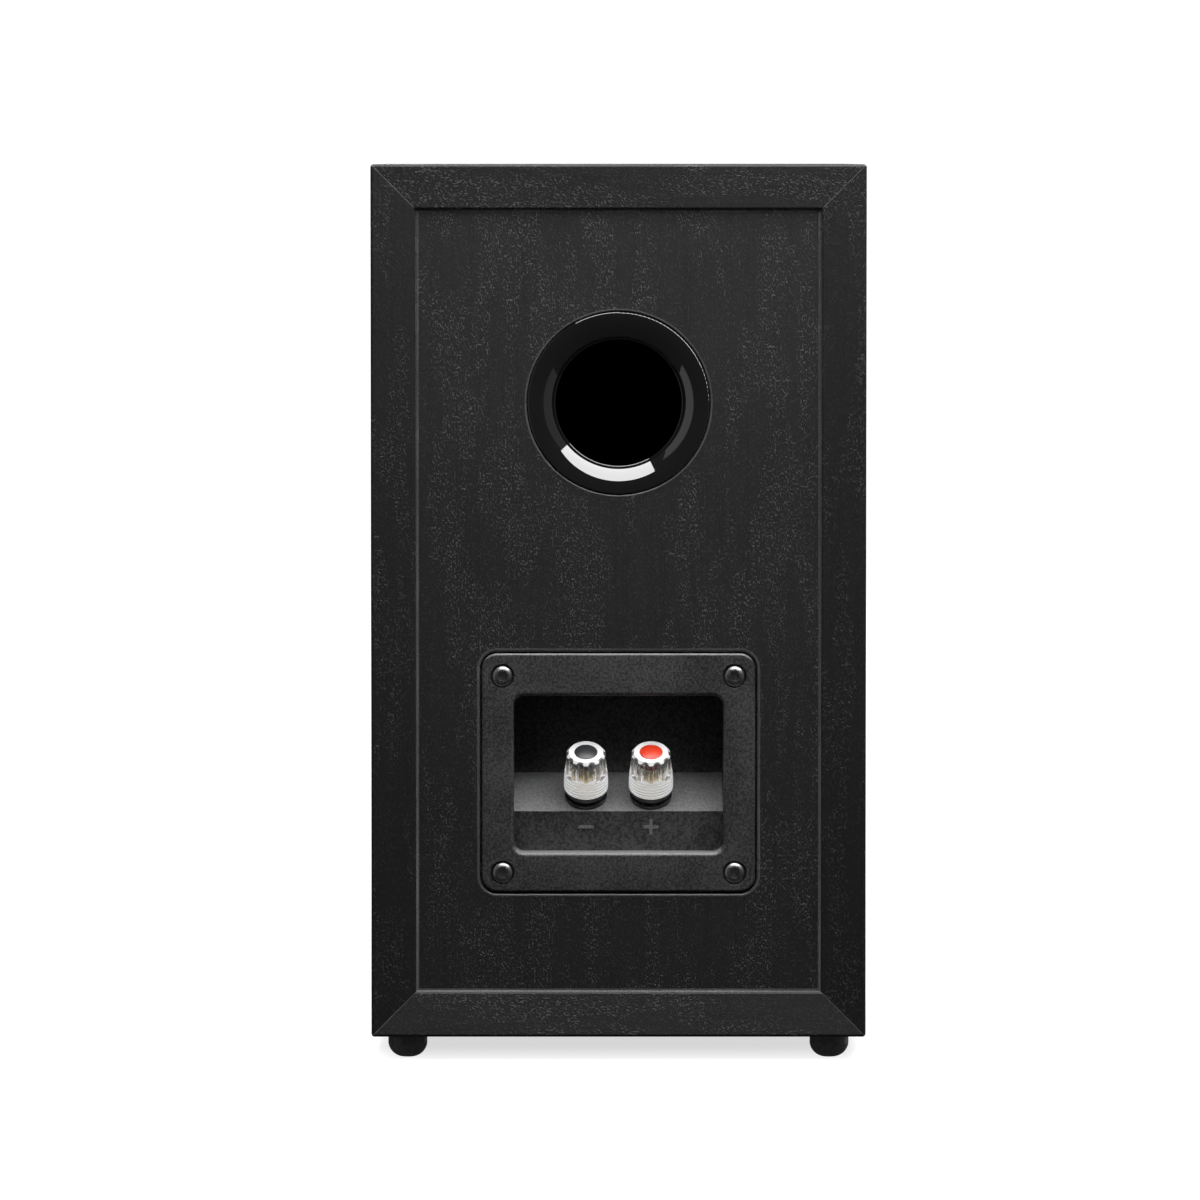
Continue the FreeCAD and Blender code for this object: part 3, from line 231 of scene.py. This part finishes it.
def moulded(name, tone, roughness, grit=1600, depth=0.02, coat=0.0, wear=0.3):
    """Moulded plastic or rubber with a fine eroded grit, depth in mm, slightly uneven in tone.

    tone is a grey level, or a colour of three parts.
    """
    t = Tree(name)
    base = tone if isinstance(tone, tuple) else grey(tone)[:3]
    dark, light = shade(base, 1 - wear), shade(base, 1 + wear)
    speck = t.noise(t.place(), grit, detail=2)
    cloud = t.noise(t.place(), 60, detail=3)
    mixed = t.math("ADD", t.math("MULTIPLY", speck, 0.6), t.math("MULTIPLY", cloud, 0.4))
    t.set(Base_Color=t.blend(t.span(mixed, 0.35, 0.65), dark, light))
    t.set(Roughness=t.span(cloud, 0.3, 0.7, roughness - 0.05, roughness + 0.05))
    t.set(Coat_Weight=coat, Coat_Roughness=0.08)
    if depth:
        t.bump((speck, depth * MM))
    return t.material


def gloss_black(name):
    """Polished black moulding with a clear skin, its gloss slightly uneven."""
    t = Tree(name)
    smear = t.noise(t.place(), 45, detail=4)
    t.set(Base_Color=t.blend(smear, grey(0.003), grey(0.006)))
    t.set(Roughness=t.span(smear, 0.35, 0.7, 0.03, 0.06), Specular_IOR_Level=0.8)
    t.set(Coat_Weight=1.0, Coat_Roughness=0.02)
    t.bump((t.noise(t.place(), 320, detail=1), 0.0012 * MM))
    return t.material


def metal(name, colour, roughness):
    """Bare or plated metal with fine scratches and a little tarnish."""
    t = Tree(name)
    scratches = t.noise(t.place(), 2400, detail=2)
    tarnish = t.span(t.noise(t.place(), 160, detail=4), 0.35, 0.7)
    t.set(Base_Color=t.blend(tarnish, shade(colour), shade(colour, 0.75)), Metallic=1.0)
    t.set(Roughness=t.span(scratches, 0.3, 0.7, roughness * 0.75, roughness * 1.3))
    t.bump((scratches, 0.004 * MM))
    return t.material


def post_height(t):
    """Distance in metres along the binding posts' tilted axis, from the foot of the collar."""
    from_foot = t.vector("SUBTRACT", t.here(), tuple(POST_FOOT))
    return t.vector("DOT_PRODUCT", from_foot, tuple(POST_AXIS), "Value")


def clear_plastic(name):
    """Clear moulding with a whitened rim and a skirt turned with fine rings.

    The skirt's rings carry a faint painted glow, standing for the light which the clear moulding pipes down
    from its rim and lets out at the rings.
    """
    t = Tree(name)
    height = post_height(t)
    flow = t.noise(t.place(), 420, detail=3)
    pitch, painted_glow = 0.95 * MM, 0.3
    above_foot = t.span(height, 3.6 * MM, 4.2 * MM)
    below_flutes = t.span(height, 9.0 * MM, 9.8 * MM, 1, 0)
    rim = t.span(height, 15.7 * MM, 16.3 * MM)
    rings = t.math("SINE", t.math("MULTIPLY", height, 2 * math.pi / pitch))
    skirt = t.math("MULTIPLY", above_foot, below_flutes)
    turned = t.math("MULTIPLY", skirt, t.span(rings, -0.7, 0.9, 0.4, 0.95))
    cloudy = t.math("MAXIMUM", turned, rim)
    t.set(Base_Color=(0.96, 0.965, 0.97, 1), IOR=1.58, Specular_IOR_Level=0.6)
    t.set(Transmission_Weight=t.span(cloudy, 0, 1, 0.9, 0.12))
    # A faint painted glow on the turned skirt.
    t.set(Emission_Color=WHITE, Emission_Strength=t.math("MULTIPLY", turned, painted_glow))
    t.set(Roughness=t.span(flow, 0.3, 0.7, 0.03, 0.09))
    t.bump((turned, 0.12 * MM), (flow, 0.01 * MM))
    return t.material


def cup_plastic(name, marks):
    """The cup's eroded black moulding, painted lighter in speckles where it faces up, as painted light from
    above. Its marks, in a box, are tipped in grey.
    """
    t = Tree(name)
    here = t.split(t.here())
    inside = 1.0
    for axis, (low, high) in zip("XYZ", marks):
        above = t.math("GREATER_THAN", here[axis], low)
        below = t.math("LESS_THAN", here[axis], high)
        inside = t.math("MULTIPLY", inside, t.math("MULTIPLY", above, below))
    speck = t.noise(t.place(), 1500, detail=2)
    fine = t.noise(t.place(), 3600, detail=1)
    cloud = t.noise(t.place(), 55, detail=3)
    mixed = t.math("ADD", t.math("MULTIPLY", speck, 0.75), t.math("MULTIPLY", cloud, 0.25))
    base = t.blend(t.span(mixed, 0.38, 0.64), grey(0.011), grey(0.062))
    facing_up = t.split(t.node("ShaderNodeNewGeometry").outputs["Normal"])["Z"]
    # Painted light: up-facing faces get a speckled lighter grey, standing for the light that falls on them
    # from above.
    painted_top_light = t.math("MULTIPLY", t.span(facing_up, 0.35, 0.85), t.span(speck, 0.3, 0.7, 0.6, 1))
    base = t.blend(painted_top_light, base, grey(0.21))
    tipped = t.math("MULTIPLY", inside, t.span(speck, 0.3, 0.6, 0.5, 1))
    t.set(Base_Color=t.blend(tipped, base, grey(0.16)))
    t.set(Roughness=t.span(cloud, 0.3, 0.7, 0.4, 0.5), Specular_IOR_Level=0.5)
    t.bump((speck, 0.05 * MM), (fine, 0.014 * MM))
    return t.material


def plug_plastic(name, colour):
    """Soft plug: slightly waxy, lit through at its edge."""
    t = Tree(name)
    cloud = t.noise(t.place(), 500, detail=3)
    t.set(Base_Color=t.blend(cloud, shade(colour), shade(colour, 0.82)))
    t.set(Roughness=t.span(cloud, 0.3, 0.7, 0.34, 0.46))
    t.set(Subsurface_Weight=0.15, Subsurface_Scale=0.8 * MM)
    t.bump((t.noise(t.place(), 3000, detail=1), 0.006 * MM))
    return t.material


def cloth(name, colour, threads, depth, rough=0.9, sheen=0.3):
    """Woven or felted fibre, from two crossed sets of threads, depth in mm, and loose fluff."""
    t = Tree(name)
    place = t.place()
    fluff = t.noise(place, threads * 0.4, detail=5, roughness=0.7)
    warp, weft = (t.wave(place, threads / 20, axis, distortion=2.0) for axis in "XZ")
    weave = t.math("MAXIMUM", warp, weft)
    t.set(Base_Color=t.blend(t.math("MULTIPLY", weave, fluff), shade(colour, 0.7), shade(colour)))
    t.set(Roughness=rough, Sheen_Weight=sheen, Sheen_Roughness=0.5)
    t.bump((weave, depth * MM), (fluff, depth * MM))
    return t.material


def coated_paper(name, centre):
    """Cone: pressed fibre with a thin coating, its fibres and faint rings round the centre."""
    t = Tree(name)
    flat = t.vector("MULTIPLY", t.vector("SUBTRACT", t.here(), centre), (1, 0, 1))
    radius = t.vector("LENGTH", flat, output="Value")
    radians_per_metre = 2600
    rings = t.math("SINE", t.math("MULTIPLY", radius, radians_per_metre))
    fibres = t.noise(t.place((1, 0.4, 1)), 900, detail=5, roughness=0.7, distortion=1.5)
    blotch = t.noise(t.place(), 90, detail=3)
    t.set(Base_Color=t.blend(t.span(fibres, 0.35, 0.68), grey(0.018), grey(0.04)))
    t.set(Roughness=t.span(blotch, 0.3, 0.7, 0.42, 0.6))
    t.bump((fibres, 0.05 * MM), (rings, 0.01 * MM))
    return t.material


def windings(name, axis):
    """Enamelled wire wound about an axis, as fine ridges along it, with painted shade in the grooves between
    turns.
    """
    t = Tree(name)
    turns = t.wave(t.place(), 180, axis, distortion=0.4)
    # The grooves between turns are painted darker: painted shade.
    groove_shade_colour, wire_colour = (0.32, 0.1, 0.035, 1), (0.72, 0.3, 0.12, 1)
    t.set(Base_Color=t.blend(turns, groove_shade_colour, wire_colour), Metallic=0.85, Roughness=0.3)
    t.bump((turns, 0.3 * MM))
    return t.material


# ---------------------------------------------------------------- mesh helpers


def add_object(name, data):
    built = bpy.data.objects.new(name, data)
    scene.collection.objects.link(built)
    return built


def smooth(mesh, angle=35):
    """Smooth shading, but for edges sharper than an angle in degrees."""
    mesh.polygons.foreach_set("use_smooth", [True] * len(mesh.polygons))
    mesh.set_sharp_from_angle(angle=math.radians(angle))


def new_mesh(name, verts, faces):
    mesh = bpy.data.meshes.new(name)
    mesh.from_pydata(verts, [], faces)
    return mesh


def add_piece(name, mesh, angle=35):
    """Puts a closed mesh in the scene, with its normals outwards and smooth shading."""
    work = bmesh.new()
    work.from_mesh(mesh)
    bmesh.ops.recalc_face_normals(work, faces=work.faces)
    work.to_mesh(mesh)
    work.free()
    smooth(mesh, angle)
    return add_object(name, mesh)


def lathe(name, profile, centre, steps=144):
    """A ring turned about the row's Y axis through centre, from a closed profile in mm.

    The profile's points are (radius, distance from centre towards the front).
    """
    verts, faces = [], []
    for i in range(steps):
        angle = 2 * math.pi * i / steps
        for radius, out in profile:
            spoke = Vector((radius * math.cos(angle), -out, radius * math.sin(angle)))
            verts.append(centre + spoke * MM)
    count = len(profile)
    for i in range(steps):
        here, there = i * count, (i + 1) % steps * count
        for j in range(count):
            k = (j + 1) % count
            faces.append((here + j, here + k, there + k, there + j))
    return add_piece(name, new_mesh(name, verts, faces))


def arch(low, high, base, radius, count=17):
    """Points (radius, out) over an arc from (low, base) to (high, base) that bulges outwards."""
    middle, half = (low + high) / 2, (high - low) / 2
    sunk = math.sqrt(radius**2 - half**2)
    spread = math.asin(half / radius)
    angles = [spread * (2 * i / (count - 1) - 1) for i in range(count)]
    return [(middle + radius * math.sin(a), base - sunk + radius * math.cos(a)) for a in angles]


def half_roll(over, under, outer_lip, inner_lip=None):
    """Closed profile of a surround: a half round roll with a flat lip outside it, and maybe one inside.

    over and under are the roll's two faces, each as what arch takes: the ends, base and radius, and maybe
    the number of points. The lips are given by the radius where they end.
    """
    top, bottom = arch(*over), arch(*under)
    top_level, bottom_level = top[0][1], bottom[0][1]
    profile = top + [(outer_lip, top_level), (outer_lip, bottom_level)] + bottom[::-1]
    if inner_lip:
        profile = [(inner_lip, top_level)] + profile + [(inner_lip, bottom_level)]
    return profile


def hang_ring(built, node):
    """Puts a ring in place of a CAD node, hiding the node and fixing the ring's placement into its mesh.
    """
    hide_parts(node)
    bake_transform(built)


def wad(name, low, high, thin):
    """A soft pad inside the box low..high: crowned across its thin axis, soft-edged and lumpy."""
    work = bmesh.new()
    bmesh.ops.create_cube(work, size=2)
    bmesh.ops.subdivide_edges(work, edges=work.edges[:], cuts=23, use_grid_fill=True)
    middle = (Vector(low) + Vector(high)) / 2
    half = (Vector(high) - Vector(low)) / 2
    flat = [axis for axis in range(3) if axis != thin]
    crown, fullness, big_lump, small_lump = 0.55, 0.86, 0.12, 0.05
    pulled_in, ragged = 0.05, 0.03
    for vertex in work.verts:
        unit = vertex.co.copy()
        edge = max(abs(unit[axis]) for axis in flat)
        lumps = noise.noise(unit * 3.1 + middle * 40) * big_lump
        lumps += noise.noise(unit * 9.0 + middle * 90) * small_lump
        unit[thin] *= (1 - crown * edge**6) * (fullness + lumps)
        for axis in flat:
            uneven = 1 + noise.noise(unit * 5 + middle * 60)
            unit[axis] *= 1 - pulled_in * abs(vertex.co[thin]) ** 3 - ragged * uneven
        vertex.co = middle + Vector(unit[axis] * half[axis] for axis in range(3))
    mesh = bpy.data.meshes.new(name)
    work.to_mesh(mesh)
    work.free()
    built = add_piece(name, mesh, 60)
    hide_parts("damping_pads")
    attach(built, "cabinet")
    return built


def seam_height(inward):
    """How far from the cabinet's middle a board's end face lies. inward is mm in from its outer face."""
    thick, round_off, fall = 13.0, 0.8, 1.5
    slope_end = thick - round_off
    if inward < round_off:
        return HALF_DEPTH - (round_off - math.sqrt(round_off**2 - (round_off - inward) ** 2)) * MM
    if inward < slope_end:
        return HALF_DEPTH - fall * (inward - round_off) / (slope_end - round_off) * MM
    rounded = math.sqrt(max(round_off**2 - (inward - slope_end) ** 2, 0))
    return HALF_DEPTH - (fall + round_off - rounded) * MM


def mitre_seams():
    """Fine uneven beads where the film's cut edges meet along the eight mitres."""
    random.seed(11)
    verts, faces = [], []
    high = cad_box[1]
    floor_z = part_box("bottom_panel")[0].z
    count, start, length = 40, 0.35, 12.5
    lap, root = 0.02 * MM, 0.3 * MM
    for front, sx, sz in itertools.product((-1, 1), repeat=3):
        corner = Vector((high[0] * sx, 0, high[2] if sz > 0 else floor_z))
        first = len(verts)
        for i in range(count):
            inward = start + length * i / (count - 1)
            wide = (0.13 + 0.05 * random.random()) * MM
            crest = (0.03 + 0.05 * random.random()) * MM
            out = seam_height(inward)
            spot = corner + Vector((-sx, 0, -sz)) * inward * MM
            across = Vector((sz, 0, -sx)) * wide
            section = ((-1, out - lap), (0, min(out + crest, HALF_DEPTH)), (1, out - lap), (0, out - root))
            for side, y in section:
                at = spot + across * side
                verts.append((at.x, y * front, at.z))
        for i in range(count - 1):
            a, b = first + 4 * i, first + 4 * (i + 1)
            for j in range(4):
                k = (j + 1) % 4
                faces.append((a + j, a + k, b + k, b + j))
        last = first + 4 * (count - 1)
        faces.append((first, first + 1, first + 2, first + 3))
        faces.append((last + 3, last + 2, last + 1, last))
    built = add_piece("mitre_seams", new_mesh("mitre_seams", verts, faces), 80)
    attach(built, "cabinet")
    return built


def rounded_loop(low, high, radius, steps):
    """Points (x, z, inward x, inward z) round a rounded rectangle given by its low and high corners."""
    loop = []
    for quarter, (sx, sz) in enumerate(((1, 1), (-1, 1), (-1, -1), (1, -1))):
        x = (high[0] if sx > 0 else low[0]) - sx * radius
        z = (high[1] if sz > 0 else low[1]) - sz * radius
        for i in range(steps + 1):
            angle = math.pi / 2 * (quarter + i / steps)
            dx, dz = math.cos(angle), math.sin(angle)
            loop.append((x + radius * dx, z + radius * dz, -dx, -dz))
    return loop


def strips(name, sections):
    """Closed strips of film. A section is a loop, a profile in mm, the y of a face, and which way it faces.

    The profile's points are (inward, out), measured from the loop and from the face.
    """
    verts, faces = [], []
    for loop, profile, face, sign in sections:
        first, count = len(verts), len(profile)
        for x, z, nx, nz in loop:
            for inward, out in profile:
                verts.append((x + nx * inward * MM, face + sign * out * MM, z + nz * inward * MM))
        for i in range(len(loop)):
            a, b = first + i * count, first + (i + 1) % len(loop) * count
            faces += [(a + j, a + (j + 1) % count, b + (j + 1) % count, b + j) for j in range(count)]
    built = add_piece(name, new_mesh(name, verts, faces), 50)
    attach(built, "cabinet")
    return built


def turned_edge(turn):
    """Profile of film that laps onto a panel and turns down into a seat, round an edge of radius turn."""
    film, lap, lift, sunk = 0.06, 0.14, 0.02, 0.1
    profile = [(-turn - lap, lift)]
    for i in range(6):
        angle = math.pi / 2 * i / 5
        profile.append(((turn + film) * math.sin(angle) - turn, (turn + film) * math.cos(angle) - turn))
    return profile + [(lift, -turn - sunk), (-turn, -turn - sunk), (-turn - lap, -sunk)]


def film_edges():
    """Fillets of film round the two sunk panels, and the film's edges turned into two seats."""
    fillet = [(0, 0.7), (0.06, 0.43), (0.24, 0.2), (0.5, 0.06), (0.91, 0.03), (0, 0.03)]
    sections = []
    for panel, sign in (("back_panel", 1), ("front_baffle", -1)):
        low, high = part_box(panel)
        loop = [(low.x, low.z, 1, 1), (high.x, low.z, -1, 1),
                (high.x, high.z, -1, -1), (low.x, high.z, 1, -1)]
        sections.append((loop, fillet, high.y if sign > 0 else low.y, sign))
    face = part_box("back_panel")[1].y
    for node, gap, turn, corner in (("port_flare", 0.4, 0.4, None), ("terminal_cup", 0.5, 0.8, 5.0)):
        low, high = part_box(node)
        low, high = (low.x - gap * MM, low.z - gap * MM), (high.x + gap * MM, high.z + gap * MM)
        radius = corner * MM if corner else (high[0] - low[0]) / 2
        sections.append((rounded_loop(low, high, radius, 24), turned_edge(turn), face, 1))
    return strips("film_edges", sections)


def throat_bead():
    """The small rounded edge where the port's flare turns into its tube."""
    low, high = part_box("port_flare")
    middle_radius, depth, bead = 18.7, 3.75, 0.32
    angles = [math.pi / 6 * i for i in range(12)]
    profile = [(middle_radius + bead * math.cos(a), depth - bead * math.sin(a)) for a in angles]
    built = lathe("throat_bead", profile, Vector((0, high.y, (low.z + high.z) / 2)))
    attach(built, "cabinet")
    return built


def dress(names, material):
    """Gives CAD nodes a finish and smooth shading."""
    for name in names:
        node = nodes[name]
        node.data.materials.clear()
        node.data.materials.append(material)
        smooth(node.data)


def finish_piece(built, material):
    built.data.materials.append(material)
    return built


# ---------------------------------------------------------------- finishes of the CAD nodes


def mark_box():
    """The box that holds the two raised marks on the cup's sill, under the posts."""
    half_span, half_tall = 13 * MM, 3 * MM
    sill = POST_FOOT.y + 5.49 * MM
    middle = POST_FOOT.z - 8.44 * MM
    relief = (sill + 0.1 * MM, sill + 0.5 * MM)
    return ((-half_span, half_span), relief, (middle - half_tall, middle + half_tall))


def both_posts(*parts):
    return [f"{side}_post_{part}" for side in POSTS for part in parts]


def dress_cabinet():
    # The same film covers every board: the sides are painted darker and the top and bottom lighter, painted
    # shade and painted light for how the light falls on their edges.
    dress(["back_panel", "front_baffle"], ash_vinyl("ash_panel", "z", level=0.0112, crest=5.3))
    dress(["side_panel_left", "side_panel_right"], ash_vinyl("ash_upright_painted_shade", "z", level=0.0074, crest=4.6))
    dress(["top_panel", "bottom_panel"], ash_vinyl("ash_level_painted_light", "x", level=0.0168, crest=3.7))
    feet = [name for name in nodes if name.startswith("foot_")]
    dress(feet, moulded("foot_rubber", 0.14, 0.45, grit=900, depth=0.01))
    dress(["port_flare", "port_tube"], port_gloss)
    dress(["terminal_cup"], cup_plastic("cup_plastic", mark_box()))
    dress(["cup_gasket"], moulded("gasket_foam", 0.02, 0.9, grit=2400, depth=0.05))
    screws = ["cup_screws", "woofer_screws", "tweeter_screws"]
    dress(screws, metal("screw_steel", (0.28, 0.28, 0.285), 0.34))


def dress_posts():
    dress(both_posts("stud", "insert"), metal("gilt_brass", (0.86, 0.66, 0.34), 0.16))
    dress(both_posts("collar"), moulded("collar_plastic", 0.02, 0.22, grit=500, depth=0, coat=0.6))
    dress(both_posts("fixings") + ["crossover_mounts"], metal("nickel", (0.66, 0.65, 0.61), 0.24))
    dress(both_posts("knob"), clear_plastic("clear_knob"))
    dress(["negative_post_stopper"], plug_plastic("stopper_black", (0.03, 0.03, 0.032)))
    dress(["positive_post_stopper"], plug_plastic("stopper_red", (0.75, 0.045, 0.012)))


def dress_drivers():
    dress(["woofer_basket"], moulded("basket_paint", 0.02, 0.42, grit=2200, depth=0.03))
    dress(["woofer_trim_ring", "grille_sockets"], moulded("trim_rubber", 0.018, 0.6, grit=1400, depth=0.01))
    dress(["woofer_cone", "woofer_dust_cap"], coated_paper("cone_paper", tuple(WOOFER)))
    dress(["woofer_voice_coil", "tweeter_voice_coil"], windings("coil_windings", "Y"))
    plates = ["woofer_top_plate", "woofer_yoke", "tweeter_top_plate"]
    dress(plates, metal("zinc_steel", (0.55, 0.55, 0.52), 0.32))
    dress(["tweeter_yoke"], moulded("blacked_steel", 0.004, 0.8, grit=900))
    dress(["woofer_magnet", "tweeter_magnet"], moulded("ferrite", 0.03, 0.7, grit=700, depth=0.04))
    dress(["woofer_terminals", "tweeter_terminals"], moulded("phenolic", (0.3, 0.16, 0.08), 0.55))
    dress(["tweeter_faceplate"], moulded("faceplate", 0.022, 0.4, grit=1900, depth=0.03))
    dress(["tweeter_dome"], dome_cloth)


def dress_crossover():
    inductors = ["crossover_inductor_large", "crossover_inductor_small"]
    dress(inductors, windings("inductor_windings", "Z"))
    dress(["crossover_board"], moulded("board_lacquer", (0.03, 0.14, 0.05), 0.35, coat=0.4))
    capacitors = ["crossover_capacitor_large", "crossover_capacitor_small"]
    dress(capacitors, moulded("capacitor_film", (0.62, 0.45, 0.05), 0.3, coat=0.5, wear=0.1))
    dress(["crossover_resistor"], moulded("resistor_cement", 0.7, 0.8, grit=900, depth=0.08, wear=0.1))
    dress(["input_leads", "woofer_leads", "tweeter_leads"], moulded("lead_sleeve", (0.3, 0.02, 0.02), 0.45))


port_gloss = gloss_black("port_gloss")
dome_cloth = cloth("dome_silk", (0.03, 0.03, 0.032), 9000, 0.03, rough=0.55, sheen=0.1)
dress_cabinet()
dress_posts()
dress_drivers()
dress_crossover()


# ---------------------------------------------------------------- soft parts


def woofer_surround():
    rubber = moulded("surround_rubber", 0.016, 0.48, grit=1700, depth=0.012)
    profile = half_roll((39.9, 46.7, -0.5, 3.7), (40.4, 46.2, -1.0, 3.0), outer_lip=48.1, inner_lip=38.6)
    ring = finish_piece(lathe("woofer_surround_roll", profile, WOOFER, 180), rubber)
    hang_ring(ring, "woofer_surround")


def woofer_spider():
    """A corrugated disc of doped cloth that centres the voice coil."""
    weave = cloth("spider_cloth", (0.6, 0.42, 0.16), 6000, 0.04)
    hub, rim, level, thick = 10.4, 33.9, -19.7, 0.35
    first, last, ridges, height, steps = 13.0, 30.0, 8, 0.5, 64
    over = [(hub, level)]
    for i in range(steps + 1):
        wave = math.sin(math.pi * ridges * i / steps)
        over.append((first + (last - first) * i / steps, level + height * wave))
    over.append((rim, level))
    profile = over + [(radius, out - thick) for radius, out in reversed(over)]
    ring = finish_piece(lathe("woofer_spider_disc", profile, WOOFER, 120), weave)
    hang_ring(ring, "woofer_spider")


def tweeter_surround():
    profile = half_roll((12.5, 14.9, -1.05, 1.45, 11), (12.6, 14.6, -1.3, 1.1, 11), outer_lip=16.6)
    ring = finish_piece(lathe("tweeter_surround_roll", profile, TWEETER), dome_cloth)
    hang_ring(ring, "tweeter_surround")


def damping():
    """Wadding glued inside the two sides and the top."""
    wadding = cloth("wadding", (0.09, 0.09, 0.092), 1500, 0.4, rough=1.0, sheen=0.2)
    inner_x, top_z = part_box("side_panel_right")[0].x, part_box("top_panel")[0].z
    thick, half_y, low_z, gap = 12 * MM, 62.5 * MM, 76 * MM, 2 * MM
    for name, side in (("damping_right", 1), ("damping_left", -1)):
        xs = sorted((side * inner_x, side * (inner_x - thick)))
        pad = wad(name, (xs[0], -half_y, low_z), (xs[1], half_y, top_z), 0)
        finish_piece(pad, wadding)
    half_x = inner_x - thick - gap
    pad = wad("damping_top", (-half_x, -half_y, top_z - thick), (half_x, half_y, top_z), 2)
    finish_piece(pad, wadding)


woofer_surround()
woofer_spider()
tweeter_surround()
damping()
# The seams and the film's edges are a grey several times lighter than the film: a painted highlight along
# these rounded edges.
finish_piece(mitre_seams(), moulded("seam_edge_painted_highlight", 0.07, 0.4, grit=3000, depth=0.01))
finish_piece(film_edges(), moulded("film_edge", 0.065, 0.24, grit=3000, depth=0.01))
finish_piece(throat_bead(), port_gloss)


# ---------------------------------------------------------------- stage, lights and camera


def world_light():
    """White behind the object for the camera, and a dim even light for everything else."""
    world = bpy.data.worlds.new("studio")
    scene.world = world
    world.use_nodes = True
    tree = world.node_tree
    path = tree.nodes.new("ShaderNodeLightPath")
    mix = tree.nodes.new("ShaderNodeMixShader")
    seen, unseen = tree.nodes["Background"], tree.nodes.new("ShaderNodeBackground")
    for background, strength in ((seen, 1.05), (unseen, 0.05)):
        background.inputs["Color"].default_value = WHITE
        background.inputs["Strength"].default_value = strength
    tree.links.new(path.outputs["Is Camera Ray"], mix.inputs[0])
    tree.links.new(unseen.outputs[0], mix.inputs[1])
    tree.links.new(seen.outputs[0], mix.inputs[2])
    tree.links.new(mix.outputs[0], tree.nodes["World Output"].inputs["Surface"])


def floor():
    """White, with just enough shade kept near the speaker for its soft contact shadow.

    Its glow is lowest under the speaker, and rises to white with distance from it and behind its back.
    """
    reach = 30
    corners = [(x * reach, y * reach, 0) for x, y in ((-1, -1), (1, -1), (1, 1), (-1, 1))]
    mesh = new_mesh("floor", corners, [(0, 1, 2, 3)])
    t = Tree("floor_white")
    distance = t.vector("LENGTH", t.here(), output="Value")
    away = t.span(distance, 0.16, 0.75, 0.66, 1.1)
    behind = t.span(t.split(t.here())["Y"], 0.045, 0.11, 0.67, 1.0)
    t.set(Base_Color=(0.5, 0.5, 0.5, 1), Roughness=0.9, Specular_IOR_Level=0.0)
    t.set(Emission_Color=WHITE, Emission_Strength=t.math("MAXIMUM", away, behind))
    mesh.materials.append(t.material)
    built = add_object("floor", mesh)
    built.visible_diffuse = False
    built.visible_glossy = False
    built.visible_transmission = False


def area_light(name, at, towards, size, radiance):
    """A rectangular softbox. towards is a point, or None for straight down with its size along x and y."""
    data = bpy.data.lights.new(name, "AREA")
    data.shape = "RECTANGLE"
    data.size, data.size_y = size
    data.energy = radiance * math.pi * size[0] * size[1]
    lamp = add_object(name, data)
    lamp.location = at
    lamp.visible_camera = False
    if towards:
        lamp.rotation_euler = (Vector(towards) - Vector(at)).to_track_quat("-Z", "Y").to_euler()


def lights():
    """A softbox over the back, a weak one at each side of it, and two for the front."""
    middle, upper_back = (0, 0, 0.13), (0, 0.1, 0.2)
    area_light("overhead", (-0.127, 0.32, 0.55), None, (0.654, 0.5), 7.5)
    area_light("left_fill", (1.6, 0.75, 0.45), upper_back, (1.0, 2.6), 0.36)
    area_light("right_fill", (-1.6, 0.6, 0.4), upper_back, (1.3, 2.2), 0.13)
    area_light("front_key", (0.7, -1.7, 1.2), middle, (1.2, 0.9), 12.4)
    area_light("front_fill", (-1.6, -1.2, 0.5), middle, (0.5, 1.2), 4.8)


def camera():
    """Stands behind the speaker, level with its top and just off its middle, and looks slightly down."""
    rear, top = cad_box[1][1:]
    distance, width_seen = 2.5, 0.3483
    across, rise, aim_drop = 0.0054, 0.002, 0.1265
    data = bpy.data.cameras.new("camera")
    data.sensor_width = 36
    data.lens = data.sensor_width * distance / width_seen
    data.clip_end = 100
    built = add_object("camera", data)
    built.location = (across, rear + distance, top + rise)
    aim = Vector((across, rear, top - aim_drop))
    built.rotation_euler = (aim - built.location).to_track_quat("-Z", "Y").to_euler()
    scene.camera = built


world_light()
floor()
lights()
camera()
scene.view_settings.view_transform = "Standard"
